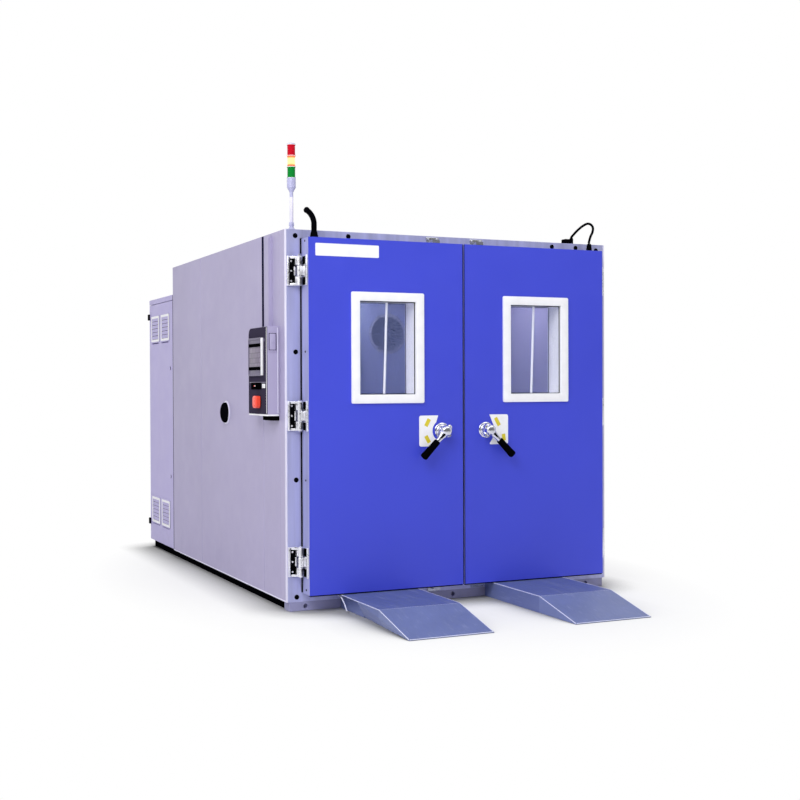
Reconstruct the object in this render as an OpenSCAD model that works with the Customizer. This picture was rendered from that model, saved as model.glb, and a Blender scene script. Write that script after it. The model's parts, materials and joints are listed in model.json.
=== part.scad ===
/* [Chamber body] */
// Outer width of the insulated body
body_w = 2272; // [2200:1:2400]
// Depth of the insulated body behind the door plane
body_d = 2680; // [2400:10:3200]
// Height of the insulated body above the floor
body_h = 2300; // [2260:1:2360]
// Thickness of the insulated wall, roof and bulkhead panels
wall_t = 100; // [80:1:110]
// Height of the base frame under the panels
base_h = 55; // [45:1:60]
// Height of the walk-in floor above the ground
floor_h = 100; // [90:1:104]
// Wall panel joint nearest the doors, measured from the door plane
front_seam_y = 419; // [400:1:470]
// Wall panel joint nearest the machine unit
rear_seam_y = 1857; // [1500:1:2100]
// Joint left between neighbouring panels
panel_gap = 0.4; // [0.3:0.1:0.8]

/* [Doorway] */
// Depth of the steel door frame
frame_d = 100; // [90:1:120]
// Width of the frame's posts on each side of the doorway
jamb_w = 181; // [176:1:200]
// Height of the frame's head above the doorway
head_h = 135; // [130:1:180]

/* [Doors] */
// Thickness of a door leaf
leaf_t = 120; // [100:1:130]
// Gap between the closed leaf and the door frame, filled by the seal
seal_gap = 9; // [7:0.5:12]
// Half of the gap between the two leaves
meeting_gap = 4; // [3.5:0.5:6]
// Width of the frame left bare beside a leaf
side_reveal = 100; // [96:1:110]
// Bottom of the leaves above the ground
leaf_bottom = 108; // [106:1:114]
// Height of the frame left bare above the leaves
top_reveal = 56; // [50:1:70]
// Depth that the inner liner plugs into the doorway
plug_d = 25; // [15:1:30]
// Thickness of the painted front skin
skin_t = 3; // [2:0.5:5]

/* [Windows] */
// Distance from the centre line to the near side of the window frame
window_x = 280; // [275:1:320]
// Overall width of the window frame
window_w = 484; // [400:1:500]
// Distance from the top of a leaf to its window frame
window_drop = 318; // [290:1:330]
// Overall height of the window frame
window_h = 676; // [600:1:700]
// Visible width of the window frame on each side
window_face = 54; // [40:1:60]
// Thickness of one pane
pane_t = 8; // [6:1:12]

/* [Door handles] */
// Distance from the centre line to the handle spindle
handle_x = 155; // [150:1:165]
// Height of the handle spindle
handle_z = 1076; // [1060:1:1100]
// Radius of the chrome rose
rose_r = 50; // [42:1:52]
// How far the lever stands from the door
lever_stand = 78; // [70:1:90]
// Length of the lever from spindle to grip end
lever_l = 228; // [180:1:240]
// Radius of a locking bolt
bolt_r = 8; // [6:0.5:9]
// Distance from the closed door frame to the bolt axis
bolt_y = 35; // [33:1:40]
// Travel of a locking bolt
bolt_throw = 25; // [20:1:26]

/* [Door hinges] */
// Distance from the side of a leaf to its hinge pins
hinge_out = 25; // [24:1:28]
// Distance from the door frame to the hinge pins
hinge_y = 40; // [40:1:42]
// Height of one hinge
hinge_h = 180; // [150:1:200]
// Radius of a hinge knuckle
knuckle_r = 14; // [12:0.5:15]
// Radius of a hinge pin
pin_r = 6; // [5:0.5:7]
// Distance from the top of a leaf to the centre of its top hinge
hinge_drop = 191; // [160:1:230]
// Centre height of the middle hinges
hinge_mid_z = 1178; // [1100:1:1200]
// Centre height of the bottom hinges
hinge_low_z = 300; // [280:1:340]

/* [Machine unit] */
// Depth of the machine unit behind the chamber
unit_d = 783; // [760:1:900]
// Height of the machine unit
unit_h = 2087; // [2060:1:2120]
// Thickness of a service door
service_t = 20; // [16:1:24]
// Width of one louvre field
louvre_w = 236; // [200:1:240]
// Height of the upper louvre fields
louvre_h = 225; // [180:1:240]
// Radius of the condenser fan opening
cond_fan_r = 250; // [200:1:270]

/* [Control box] */
// How far the control box stands off the wall
box_t = 83; // [70:1:100]
// Front side of the control box, measured from the door plane
box_y = 105; // [101:1:110]
// Width of the control box along the wall
box_w = 359; // [340:1:370]
// Bottom of the control box
box_z = 1186; // [1150:1:1200]
// Height of the control box
box_h = 534; // [500:1:560]
// Width of the square stop button
stop_w = 76; // [60:1:80]
// How far the stop button stands out
stop_stand = 39; // [30:1:45]
// Travel of the stop button
stop_travel = 6; // [4:1:8]

/* [Cable port] */
// Distance of the cable port from the door plane
port_y = 1225; // [1000:1:1400]
// Height of the cable port
port_z = 1177; // [1000:1:1300]
// Inner radius of the cable port
port_r = 50; // [40:1:55]
// Radius of the port's outer flange
port_flange_r = 75; // [72:1:80]

/* [Signal tower] */
// Distance from the chamber's left side to the tower
tower_inset = 63; // [46:1:76]
// Distance of the tower from the door plane
tower_y = 60; // [45:1:70]
// Radius of the tower modules
tower_r = 27; // [22:1:30]
// Radius of the tower's pole
pole_r = 11; // [8:1:13]
// Height of the pole
pole_h = 228; // [200:1:300]
// Height of one lamp module
lens_h = 67; // [45:1:75]

/* [Ramps] */
// Width of a ramp
ramp_w = 515; // [450:1:520]
// Centre of the left ramp from the centre line
left_ramp_x = -574; // [-620:1:-560]
// Centre of the right ramp from the centre line
right_ramp_x = 472; // [470:1:520]
// Length of a ramp's level part
ramp_flat = 675; // [600:1:700]
// Length of a ramp's slope on the ground
ramp_run = 405; // [350:1:500]
// Thickness of the ramp's sheet steel
ramp_t = 5; // [4:0.5:8]
// How far the left ramp's side plates stand in under its tread
ramp_inset = 50; // [30:1:70]

/* [Air system] */
// Distance between the bulkhead and the air duct wall
plenum_d = 380; // [360:1:420]
// Distance from the centre line to each circulation fan
fan_x = 520; // [480:1:560]
// Distance from the ceiling to the circulation fans
fan_drop = 420; // [400:1:500]
// Least distance from the machine unit's top to the fan motors
motor_drop = 307; // [300:1:400]
// Radius of a circulation fan wheel
fan_r = 190; // [160:1:200]
// Radius of the fan shafts
shaft_r = 12; // [10:1:14]

/* [Hidden] */
$fn = 48;

// Clearances
soft_gap = 0.3;
run_gap = 0.05;
slide_gap = 0.5;
touch = 0.01;

// Body planes
half_w = body_w / 2;
inner_x = half_w - wall_t;
ceiling_z = body_h - wall_t;
bulkhead_y = body_d - wall_t;
duct_y = bulkhead_y - plenum_d;
seams = [frame_d, front_seam_y, rear_seam_y, body_d];
tongue_inset = 30;
doorway_x = half_w - jamb_w;
doorway_top = body_h - head_h;
fan_z = min(ceiling_z - fan_drop, unit_h - motor_drop);

// Door planes
leaf_edge_x = half_w - side_reveal;
leaf_top = body_h - top_reveal;
hinge_x = leaf_edge_x + hinge_out;
hinge_zs = [leaf_top - hinge_drop, hinge_mid_z, hinge_low_z];
leaf_back_y = -seal_gap;
leaf_front_y = leaf_back_y - leaf_t;
skin_back_y = leaf_front_y + skin_t;
plug_x0 = meeting_gap + 8;
plug_x1 = doorway_x - 35;
plug_z0 = floor_h + 12;
plug_z1 = doorway_top - 12;
window_z = leaf_top - window_drop - window_h;
glass_x0 = window_x + window_face;
glass_x1 = window_x + window_w - window_face;
glass_z0 = window_z + window_face;
glass_z1 = window_z + window_h - window_face;
window_stand = 14;
lining_t = 6;
spindle_r = 10;
rose_t = 14;
bolt_sink = 4;
bolt_top = leaf_top - bolt_sink;
bolt_bottom = leaf_bottom + bolt_sink;
bolt_start = 54;
strike_gap = 8;
strike_w = 86;

// Machine unit planes
unit_y0 = body_d;
unit_y1 = body_d + unit_d;
post_w = 40;
service_gap = 2;
service_x = half_w - service_t;
service_y0 = unit_y0 + 4;
service_y1 = unit_y1 - 4;
service_z0 = base_h + 8;
roof_sheet = 40;
service_z1 = unit_h - roof_sheet - 5;
service_pin_r = 4;
service_pin_y = unit_y1 + 8;
service_pin_x = half_w - service_t / 2;
louvre_ys = [unit_y0 + 130, unit_y0 + 130 + louvre_w + 92];
louvre_low_z = 212;
louvre_high_z = service_z1 - 317;
service_hinge_zs = [louvre_low_z + 15, louvre_high_z + 210];
lock_y = unit_y0 + 84;
lock_zs = [635, louvre_high_z - 222];
cond_fan_x = 480;
cond_fan_z = unit_h - 607;
cond_motor_y = unit_y1 - 200;
motor_r = 75;
motor_flange = 25;
pan_t = 4;

// Compressors, boiler and electrical cabinet
compressor_xs = [-620, -220];
compressor_y = unit_y0 + 330;
compressor_r = 118;
compressor_foot = 150;
boiler_r = 130;
boiler_h = 500;
boiler_leg = 205;
boiler_x = half_w - boiler_r - 71;
boiler_y = unit_y0 + boiler_r + 20;
cabinet_x0 = fan_x + motor_r + motor_flange + 16;
cabinet_z0 = 1050;
cabinet_z1 = unit_h - 137;
cabinet_d = 180;

// Heat exchangers
coil_rim = 8;
evap_w = 2 * inner_x - 372;
evap_d = 120;
evap_h = 620;
evap_y = duct_y + 150;
evap_z = fan_z - 1080;
heater_x = evap_w / 2 - 150;
cond_w = 640;
cond_d = 110;
cond_h = 600;
cond_y = unit_y1 - 480;
cond_z = cond_fan_z - cond_h / 2;
coil_post = 40;

// Sleeve of the cable port
port_sleeve_r = port_r + 7.5;

// Control box planes
box_x = half_w + box_t;
panel_face_t = 4;
screen_t = 14;
screen_y0 = box_y + 62;
screen_y1 = box_y + box_w - 32;
screen_z0 = box_z + 234;
screen_z1 = screen_z0 + 236;
switch_y = box_y + 150;
switch_z = box_z + 173;
stop_y = box_y + 143;
stop_z = box_z + 75;
stop_stem_r = 11;
switch_stem_r = 8;
switch_plate_t = 5;

tower_socket_h = 88;

// Route of the lead from the roof block to the right door
cable_r = 8;
gland_x = leaf_edge_x - 60;
gland_y = -64;
gland_h = 53;
block_w = 64;
block_d = 50;
block_h = 30;
block_x = half_w - 272;
block_y = 2;
block_bevel = 5;
cable_start = [block_x + 22, block_y + 10, body_h + block_h + soft_gap];
cable_curve = [[40, 11, 33], [66, 6, 60], [96, -8, 88], [122, -28, 104], [140, -46, 96], [147, -58, 73],
    [139, -63, 43], [124, -64, 15]];
cable_end = [gland_x, gland_y, leaf_top + gland_h + soft_gap];
cable_straight = [0, 0, 12];
cable_route = concat([cable_start, cable_start + cable_straight],
    [for (p = cable_curve) [block_x, 0, body_h + block_h] + p], [cable_end + cable_straight, cable_end]);

// A block between two corners
module block(a, b) { translate(a) cube(b - a); }

// A round bar along Y
module bar_y(r, x, z, y0, y1) { translate([x, y0, z]) rotate([-90, 0, 0]) cylinder(r = r, h = y1 - y0); }

// A round bar along X
module bar_x(r, y, z, x0, x1) { translate([x0, y, z]) rotate([0, 90, 0]) cylinder(r = r, h = x1 - x0); }

// The same shape on the left or on the right of the centre line
module on_side(s) { if (s < 0) mirror([1, 0, 0]) children(); else children(); }

// A rectangle with rounded corners
module rounded_rect(w, h, r) {
    translate([r, 0]) square([w - 2 * r, h]);
    translate([0, r]) square([w, h - 2 * r]);
    for (x = [r, w - r], y = [r, h - r]) translate([x, y]) circle(r = r);
}

// A flat ring in the XZ plane, from y0 to y1, with rounded corners
module ring_xz(x0, x1, z0, z1, face, y0, y1, r = 6) {
    translate([x0, y1, z0]) rotate([90, 0, 0]) linear_extrude(y1 - y0) difference() {
        rounded_rect(x1 - x0, z1 - z0, r);
        translate([face, face]) rounded_rect(x1 - x0 - 2 * face, z1 - z0 - 2 * face, r / 2);
    }
}

// Base, walls and roof

// Channel steel base with cross members
module base_frame() {
    rail = 80;
    inset = 30;
    spans = 5;
    y0 = frame_d;
    y1 = unit_y1 - inset;
    color("dimgray") {
        for (s = [-1, 1]) on_side(s) block([half_w - inset - rail, y0, 0], [half_w - inset, y1, base_h]);
        for (i = [0 : spans]) {
            y = y0 + i * (y1 - rail - y0) / spans;
            block([-half_w + inset + rail, y, 0], [half_w - inset - rail, y + rail, base_h]);
        }
    }
}

// Light painted beam under the door frame
module front_beam() {
    inset = 20;
    hole_r = 14;
    hole_d = 30;
    pitch = 250;
    x1 = half_w - 120;
    color("lightsteelblue") difference() {
        block([inset - half_w, 0, 0], [half_w - inset, frame_d - 1, base_h]);
        for (x = [-x1 : pitch : x1]) bar_y(hole_r, x, base_h / 2, -1, hole_d);
    }
}

module floor_panel() {
    color("silver") block([-inner_x + panel_gap, frame_d + panel_gap, base_h],
        [inner_x - panel_gap, bulkhead_y - panel_gap, floor_h]);
}

// Plan of one wall panel, with a chamfered outer joint and a tongue towards the machine unit
module wall_panel_plan(y0, y1, tongue) {
    c = 6;
    x0 = inner_x + tongue_inset;
    x1 = half_w - tongue_inset;
    polygon([[inner_x, y0], [half_w - c, y0], [half_w, y0 + c], [half_w, y1 - c], [half_w - c, y1],
        [x1, y1], [x1, y1 + tongue], [x0, y1 + tongue], [x0, y1], [inner_x, y1]]);
}

module wall_panels() {
    tongue = 15;
    for (i = [0:2]) translate([0, 0, base_h]) linear_extrude(body_h - base_h) difference() {
        wall_panel_plan(seams[i] + panel_gap, seams[i + 1], i == 2 ? 0 : tongue);
        if (i > 0) translate([inner_x + tongue_inset - panel_gap, seams[i] - 1])
            square([wall_t - 2 * (tongue_inset - panel_gap), tongue + 1 + panel_gap]);
    }
}

module left_wall() {
    color("thistle") difference() {
        on_side(-1) wall_panels();
        bar_x(port_sleeve_r + 0.5, port_y, port_z, -half_w - 1, -inner_x + 1);
    }
}

module right_wall() { color("thistle") wall_panels(); }

module roof_panel() {
    x = inner_x - panel_gap;
    color("thistle") for (i = [0:2]) block([-x, seams[i] + panel_gap, ceiling_z], [x, seams[i + 1], body_h]);
}

// Insulated wall between the test space and the machine unit, bored for the fan shafts
module rear_bulkhead() {
    x = inner_x - panel_gap;
    color("silver") difference() {
        block([-x, bulkhead_y, base_h], [x, body_d, ceiling_z - panel_gap]);
        for (s = [-1, 1]) bar_y(shaft_r + 6, s * fan_x, fan_z, bulkhead_y - 1, body_d + 1);
    }
}

// Welded frame round the doorway
module front_frame() {
    color("lightsteelblue") difference() {
        block([-half_w, 0, base_h], [half_w, frame_d, body_h]);
        block([-doorway_x, -1, floor_h], [doorway_x, frame_d + 1, doorway_top]);
    }
}

// One bolt keeper: a back plate, two cheeks and the front bar that holds the bolt
module strike() {
    plate_t = 6;
    plate_h = 40;
    keeper_h = bolt_throw - bolt_sink - strike_gap + 7;
    keeper_w = 52;
    bar_t = 13;
    hole = bolt_r + 1.5;
    bar_y0 = -bolt_y - hole - bar_t;
    block([-strike_w / 2, -plate_t, 0], [strike_w / 2, 0, plate_h]);
    for (s = [-1, 1]) on_side(s) block([hole, bar_y0, 0], [keeper_w / 2, touch - plate_t, keeper_h]);
    block([-hole - touch, bar_y0, 0], [hole + touch, bar_y0 + bar_t, keeper_h]);
}

module door_strikes() {
    color("gainsboro") for (s = [-1, 1]) on_side(s) {
        translate([handle_x, 0, leaf_top + strike_gap]) strike();
        translate([handle_x, 0, floor_h - 2]) mirror([0, 0, 1]) strike();
    }
}

// Cable port and its bung

module cable_port() {
    color("whitesmoke") difference() {
        union() {
            bar_x(port_flange_r, port_y, port_z, -half_w - 4, -half_w);
            bar_x(port_sleeve_r, port_y, port_z, -half_w, -inner_x);
            bar_x(port_flange_r - 5, port_y, port_z, -inner_x, -inner_x + 3);
        }
        bar_x(port_r, port_y, port_z, -half_w - 5, -inner_x + 4);
    }
}

module cable_port_plug() {
    color("black") {
        bar_x(port_flange_r - 6, port_y, port_z, -half_w - 14, -half_w - 4 - soft_gap);
        bar_x(port_r - soft_gap, port_y, port_z, -half_w - 4 - soft_gap - touch, -inner_x - 10);
    }
}

// Air system in the duct behind the test space

// Stainless duct wall with fan outlets at the top and rimmed return openings at the bottom
module air_duct_wall() {
    sheet = 3;
    rim = 12;
    rim_t = 3;
    return_x0 = fan_x - 330;
    return_z0 = floor_h + 80;
    return_z1 = return_z0 + 336;
    edge_x = evap_w / 2 + rim;
    color("gainsboro") {
        difference() {
            block([-inner_x + 1, duct_y, floor_h], [inner_x - 1, duct_y + sheet, ceiling_z - 1]);
            for (s = [-1, 1]) {
                bar_y(fan_r - 25, s * fan_x, fan_z, duct_y - 1, duct_y + sheet + 1);
                on_side(s) block([return_x0, duct_y - 1, return_z0],
                    [edge_x - rim, duct_y + sheet + 1, return_z1]);
            }
        }
        for (s = [-1, 1], z = [return_z0 - rim, return_z1])
            on_side(s) block([return_x0 - rim, duct_y - rim_t, z], [edge_x, duct_y + touch, z + rim]);
    }
}

// Finned block with U bends on both ends
module finned_coil(w, d, h, rows, pitch) {
    plate = 6;
    translate([-w / 2, 0, 0]) cube([plate, d, h]);
    translate([w / 2 - plate, 0, 0]) cube([plate, d, h]);
    translate([-w / 2 + plate - touch, coil_rim, coil_rim])
        cube([w - 2 * plate + 2 * touch, d - 2 * coil_rim, h - 2 * coil_rim]);
    for (i = [0:rows - 1], s = [-1, 1]) translate([s * (w / 2 - touch), d / 2, 30 + i * pitch])
        rotate([0, 90, s < 0 ? 180 : 0]) rotate([0, 0, 90]) u_bend(d / 4, 7);
}

// Half ring of pipe standing on its two ends
module u_bend(r, pipe) {
    intersection() {
        rotate([90, 0, 0]) rotate_extrude() translate([r, 0]) circle(r = pipe);
        translate([-r - pipe - 1, -pipe - 1, 0]) cube([2 * (r + pipe + 1), 2 * (pipe + 1), r + pipe + 1]);
    }
}

// Evaporator in the air duct and condenser in the machine unit, each on its stand
module finned_coils() {
    evap_post_x = evap_w / 2 - 70;
    cond_post_x = cond_w / 2 - 50;
    plate_x = cond_w / 2 - 10;
    plate_t = 10;
    color("peru") {
        translate([0, evap_y, evap_z]) finned_coil(evap_w, evap_d, evap_h, 8, 75);
        translate([cond_fan_x, cond_y, cond_z]) finned_coil(cond_w, cond_d, cond_h, 7, 80);
    }
    color("silver") {
        for (s = [-1, 1]) {
            on_side(s) block([evap_post_x, evap_y, floor_h],
                [evap_post_x + coil_post, evap_y + coil_post, evap_z + coil_rim + touch]);
            x = cond_fan_x + s * (cond_post_x + coil_post / 2) - coil_post / 2;
            block([x, cond_y, base_h + pan_t],
                [x + coil_post, cond_y + coil_post, cond_z + coil_rim + touch]);
            block([x, cond_y + cond_d - coil_rim - touch, cond_fan_z - coil_post / 2],
                [x + coil_post, cond_motor_y + touch, cond_fan_z + coil_post / 2]);
        }
        difference() {
            block([cond_fan_x - plate_x, cond_motor_y, cond_fan_z - 90],
                [cond_fan_x + plate_x, cond_motor_y + plate_t, cond_fan_z + 90]);
            bar_y(shaft_r + 8, cond_fan_x, cond_fan_z, cond_motor_y - 1, cond_motor_y + plate_t + 1);
        }
    }
}

// Three finned heater rods on two brackets that stand on the evaporator
module heater_coil() {
    y = evap_y + evap_d / 2;
    z0 = evap_z + evap_h - coil_rim;
    rod_r = 9;
    fin_r = 18;
    fin_t = 3;
    bracket_t = 6;
    fin_pitch = 60;
    fin_x1 = heater_x - 40;
    rod_zs = [for (i = [0:2]) z0 + 33 + 40 * i];
    color("silver") {
        for (s = [-1, 1]) on_side(s) block([heater_x, y - 40, z0], [heater_x + bracket_t, y + 40, z0 + 138]);
        for (z = rod_zs) bar_x(rod_r, y, z, -heater_x - touch, heater_x + touch);
        for (z = rod_zs, x = [-fin_x1 : fin_pitch : fin_x1])
            bar_x(fin_r, y, z, x - fin_t / 2, x + fin_t / 2);
    }
}

// Flanged motor standing behind its shaft
module flange_motor(r, l) {
    cylinder(r = r + motor_flange, h = 8);
    translate([0, 0, 8 - touch]) cylinder(r = r, h = l);
    for (a = [0 : 30 : 359]) rotate(a) translate([r - 3, -2.5, 8]) cube([9, 5, l * 0.75]);
    translate([0, 0, l + 8 - 2 * touch]) cylinder(r1 = r, r2 = r * 0.7, h = 18);
}

module fan_motors() {
    color("darkslateblue") difference() {
        union() {
            for (s = [-1, 1])
                translate([s * fan_x, body_d, fan_z]) rotate([-90, 0, 0]) flange_motor(motor_r, 190);
            translate([cond_fan_x, cond_motor_y, cond_fan_z]) rotate([90, 0, 0]) flange_motor(55, 110);
        }
        for (s = [-1, 1]) bar_y(shaft_r + run_gap, s * fan_x, fan_z, body_d - 1, body_d + 60);
        bar_y(shaft_r + run_gap, cond_fan_x, cond_fan_z, cond_motor_y - 60, cond_motor_y + 1);
    }
}

// Backward curved fan wheel between two discs, on its long shaft
module fan_wheel() {
    blades = 12;
    depth = 90;
    disc_t = 4;
    blade_t = 3;
    hub_r = 30;
    hub_h = 60;
    blade_r = fan_r * 0.62;
    cylinder(r = fan_r, h = disc_t);
    translate([0, 0, disc_t - touch]) linear_extrude(depth) intersection() {
        circle(r = fan_r - 2);
        for (a = [0 : 360 / blades : 359]) rotate(a) translate([fan_r * 0.45, blade_r]) difference() {
            circle(r = blade_r);
            circle(r = blade_r - blade_t);
            translate([-fan_r, -blade_r / 3]) square([2 * fan_r, fan_r * 2]);
            translate([-2 * fan_r, -fan_r]) square([2 * fan_r, 2 * fan_r]);
        }
    }
    translate([0, 0, depth + disc_t - 2 * touch]) difference() {
        cylinder(r = fan_r, h = disc_t);
        translate([0, 0, -1]) cylinder(r = fan_r * 0.6, h = disc_t + 2);
    }
    cylinder(r = hub_r, h = hub_h);
}

module circulation_fan(s) {
    wheel_y = duct_y + 130;
    color("gainsboro") {
        translate([s * fan_x, wheel_y, fan_z]) rotate([90, 0, 0]) fan_wheel();
        bar_y(shaft_r, s * fan_x, fan_z, wheel_y - 8, body_d + 58);
    }
}

module left_fan() { circulation_fan(-1); }

module right_fan() { circulation_fan(1); }

// Control box on the left wall

// Outline of the control box on the wall, with a rounded upper rear corner
module box_outline(inset) {
    r = 45;
    w = box_w - 2 * inset;
    h = box_h - 2 * inset;
    translate([box_y + inset, box_z + inset]) {
        square([w, h - r]);
        square([w - r, h]);
        translate([w - r, h - r]) circle(r = r);
    }
}

// Places an outline drawn in Y and Z on the left side, from x0 out to x1
module on_left_wall(x0, x1) {
    translate([-x1, 0, 0]) rotate([90, 0, 90]) linear_extrude(x1 - x0) children();
}

module control_box() {
    trunk_y = box_y + 135;
    color("thistle") {
        difference() {
            on_left_wall(half_w, box_x - panel_face_t) box_outline(0);
            bar_x(stop_stem_r + slide_gap, stop_y, stop_z,
                -box_x, -box_x + panel_face_t + stop_travel + soft_gap);
        }
        block([-half_w - 25, trunk_y, box_z + box_h - touch], [-half_w, trunk_y + 45, body_h - 20]);
        block([-half_w - 70, box_y - 6, box_z + 380], [-half_w - 25, box_y + touch, box_z + 500]);
    }
}

module control_panel() {
    color("darkslategray") {
        on_left_wall(box_x - panel_face_t, box_x) difference() {
            box_outline(2);
            translate([stop_y, stop_z]) circle(r = stop_stem_r + slide_gap);
            translate([switch_y, switch_z]) circle(r = switch_stem_r + run_gap);
        }
        on_left_wall(box_x - touch, box_x + switch_plate_t) difference() {
            translate([switch_y - 45, switch_z - 20]) rounded_rect(190, 40, 4);
            translate([switch_y, switch_z]) circle(r = switch_stem_r + run_gap);
        }
    }
}

module touch_screen() {
    w = screen_y1 - screen_y0;
    h = screen_z1 - screen_z0;
    side = 14;
    bar = 34;
    glass_t = 1.5;
    color("gainsboro") on_left_wall(box_x, box_x + screen_t)
        translate([screen_y0, screen_z0]) rounded_rect(w, h, 8);
    color("slategray") on_left_wall(box_x + screen_t - touch, box_x + screen_t + glass_t)
        translate([screen_y0 + side, screen_z0 + bar]) square([w - 2 * side, h - 2 * bar]);
}

// Rotary switch with a raised pointer
module power_switch() {
    knob_x = box_x + switch_plate_t + soft_gap;
    knob_r = 17;
    knob_t = 16;
    pointer_l = 32;
    pointer_w = 8;
    pointer_t = 8;
    color("black") {
        bar_x(knob_r, switch_y, switch_z, -knob_x - knob_t, -knob_x);
        bar_x(switch_stem_r, switch_y, switch_z, -knob_x - touch, -box_x + panel_face_t);
        block([-knob_x - knob_t - pointer_t, switch_y - pointer_l / 2, switch_z - pointer_w / 2],
            [-knob_x - knob_t + touch, switch_y + pointer_l / 2, switch_z + pointer_w / 2]);
    }
}

// Square push button, rounded at its corners, on a round stem
module stop_button() {
    color("orangered") {
        on_left_wall(box_x + stop_travel + soft_gap, box_x + stop_stand)
            translate([stop_y - stop_w / 2, stop_z - stop_w / 2]) rounded_rect(stop_w, stop_w, 16);
        bar_x(stop_stem_r, stop_y, stop_z, -box_x - stop_travel - soft_gap - touch, -box_x + panel_face_t);
    }
}

// Signal tower

module tower_mast() {
    top = body_h + pole_h;
    color("gainsboro") translate([tower_inset - half_w, tower_y, 0]) {
        rotate_extrude() polygon([[0, body_h], [26, body_h], [26, body_h + 5], [16, body_h + 14],
            [pole_r, body_h + 26], [pole_r, top], [tower_r * 0.6, top + 12], [tower_r, top + 30],
            [tower_r, top + tower_socket_h], [0, top + tower_socket_h]]);
    }
}

// Red, amber and green modules with a cap on top
module tower_lenses() {
    base = body_h + pole_h + tower_socket_h;
    color("crimson") translate([tower_inset - half_w, tower_y, base]) {
        for (i = [0:2]) translate([0, 0, i * lens_h]) rotate_extrude()
            polygon([[0, 0], [tower_r - 1, 0], [tower_r - 1, 3], [tower_r - 3, 5],
                [tower_r - 3, lens_h - 5], [tower_r - 1, lens_h - 3], [tower_r - 1, lens_h], [0, lens_h]]);
        translate([0, 0, 3 * lens_h]) cylinder(r1 = tower_r - 1, r2 = tower_r - 9, h = 9);
    }
}

// Leads to the doors

module roof_cable_block() {
    x0 = block_x - block_w / 2;
    top = body_h + block_h;
    color("black") difference() {
        block([x0, block_y, body_h], [x0 + block_w, block_y + block_d, top]);
        translate([x0 - 1, block_y, top - block_bevel]) rotate([45, 0, 0])
            cube([block_w + 2, 2 * block_bevel, 2 * block_bevel]);
    }
}

// Unit vector along the route at one of its points
function route_dir(p, i) = let (a = p[max(i - 1, 0)], b = p[min(i + 1, len(p) - 1)], d = b - a) d / norm(d);

// A tube swept along a route's own points, as one closed polyhedron
module swept_tube(p, r, sides) {
    side_axis = [0.6, 0.8, 0];
    step = 360 / sides;
    rings = [for (i = [0:len(p) - 1])
        let (t = route_dir(p, i), u = cross(t, side_axis) / norm(cross(t, side_axis)), v = cross(t, u))
        [for (k = [0:sides - 1]) p[i] + r * (cos(step * k) * u + sin(step * k) * v)]];
    points = [for (ring = rings) each ring];
    last = (len(p) - 1) * sides;
    faces = concat([[for (k = [0:sides - 1]) k]], [[for (k = [sides - 1 : -1 : 0]) last + k]],
        [for (i = [0:len(p) - 2], k = [0:sides - 1]) let (n = (k + 1) % sides)
            [i * sides + n, i * sides + k, (i + 1) * sides + k, (i + 1) * sides + n]]);
    polyhedron(points, faces);
}

module door_cable() { color("black") swept_tube(cable_route, cable_r, 10); }

// Machine unit

// Posts, roof, rear panel and fan guard, with the lower halves of the service hinges
module machine_housing() {
    post_x = half_w - service_t - service_gap;
    panel_y = unit_y1 - 3;
    post_top = unit_h - roof_sheet;
    slot_h = 18;
    slot_pitch = 50;
    slot_z = 300;
    color("thistle") difference() {
        union() {
            for (s = [-1, 1]) on_side(s) {
                block([post_x - post_w, unit_y0, base_h], [post_x, unit_y0 + post_w, post_top]);
                block([post_x - post_w, unit_y1 - post_w, base_h], [post_x, panel_y, post_top]);
            }
            block([-half_w, unit_y0, post_top - touch], [half_w, unit_y1, unit_h]);
            block([-post_x, panel_y - touch, base_h], [post_x, unit_y1, post_top]);
            block([-post_x + post_w - touch, unit_y0 + panel_gap, base_h],
                [post_x - post_w + touch, panel_y + touch, base_h + pan_t]);
        }
        bar_y(cond_fan_r, cond_fan_x, cond_fan_z, unit_y1 - 5, unit_y1 + 1);
        for (i = [0:10]) block([-900, unit_y1 - 5, slot_z + i * slot_pitch],
            [-300, unit_y1 + 1, slot_z + i * slot_pitch + slot_h]);
    }
    color("dimgray") {
        for (r = [40 : 42 : cond_fan_r]) translate([cond_fan_x, unit_y1, cond_fan_z]) rotate([-90, 0, 0])
            difference() { cylinder(r = r + 3, h = 4); translate([0, 0, -1]) cylinder(r = r - 3, h = 6); }
        for (a = [0, 90]) translate([cond_fan_x, unit_y1 + 5, cond_fan_z])
            rotate([0, a, 0]) cube([2 * cond_fan_r + 30, 4, 8], center = true);
        for (s = [-1, 1], z = service_hinge_zs) on_side(s) service_hinge_root(z);
    }
}

// Lower half of a lift-off hinge, with its pin, on the rear panel
module service_hinge_root(z) {
    translate([service_pin_x, service_pin_y, z]) {
        cylinder(r = 7, h = 40);
        cylinder(r = service_pin_r, h = 75);
        block([-50, -8, 0], [0, -5, 40]);
        block([-7, -8, 0], [7, 0, 40]);
    }
}

module compressors() {
    r = compressor_r;
    foot = compressor_foot;
    plate_t = 12;
    mount_h = 22;
    color("black") for (x = compressor_xs) translate([x, compressor_y, base_h + pan_t]) {
        block([-foot, -foot + 20, 0], [foot, foot - 20, plate_t]);
        for (a = [45 : 90 : 359]) rotate(a) translate([foot - 20, 0, plate_t - touch])
            cylinder(r = 14, h = mount_h);
        translate([0, 0, plate_t + mount_h - 2 * touch]) rotate_extrude() polygon([[0, 0], [foot, 0],
            [foot, 8], [r, 14], [r, 300], [r - 14, 340], [r / 2, 366], [0, 372]]);
        translate([r - 14, 0, 300]) cylinder(r = 9, h = 160);
    }
}

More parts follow.
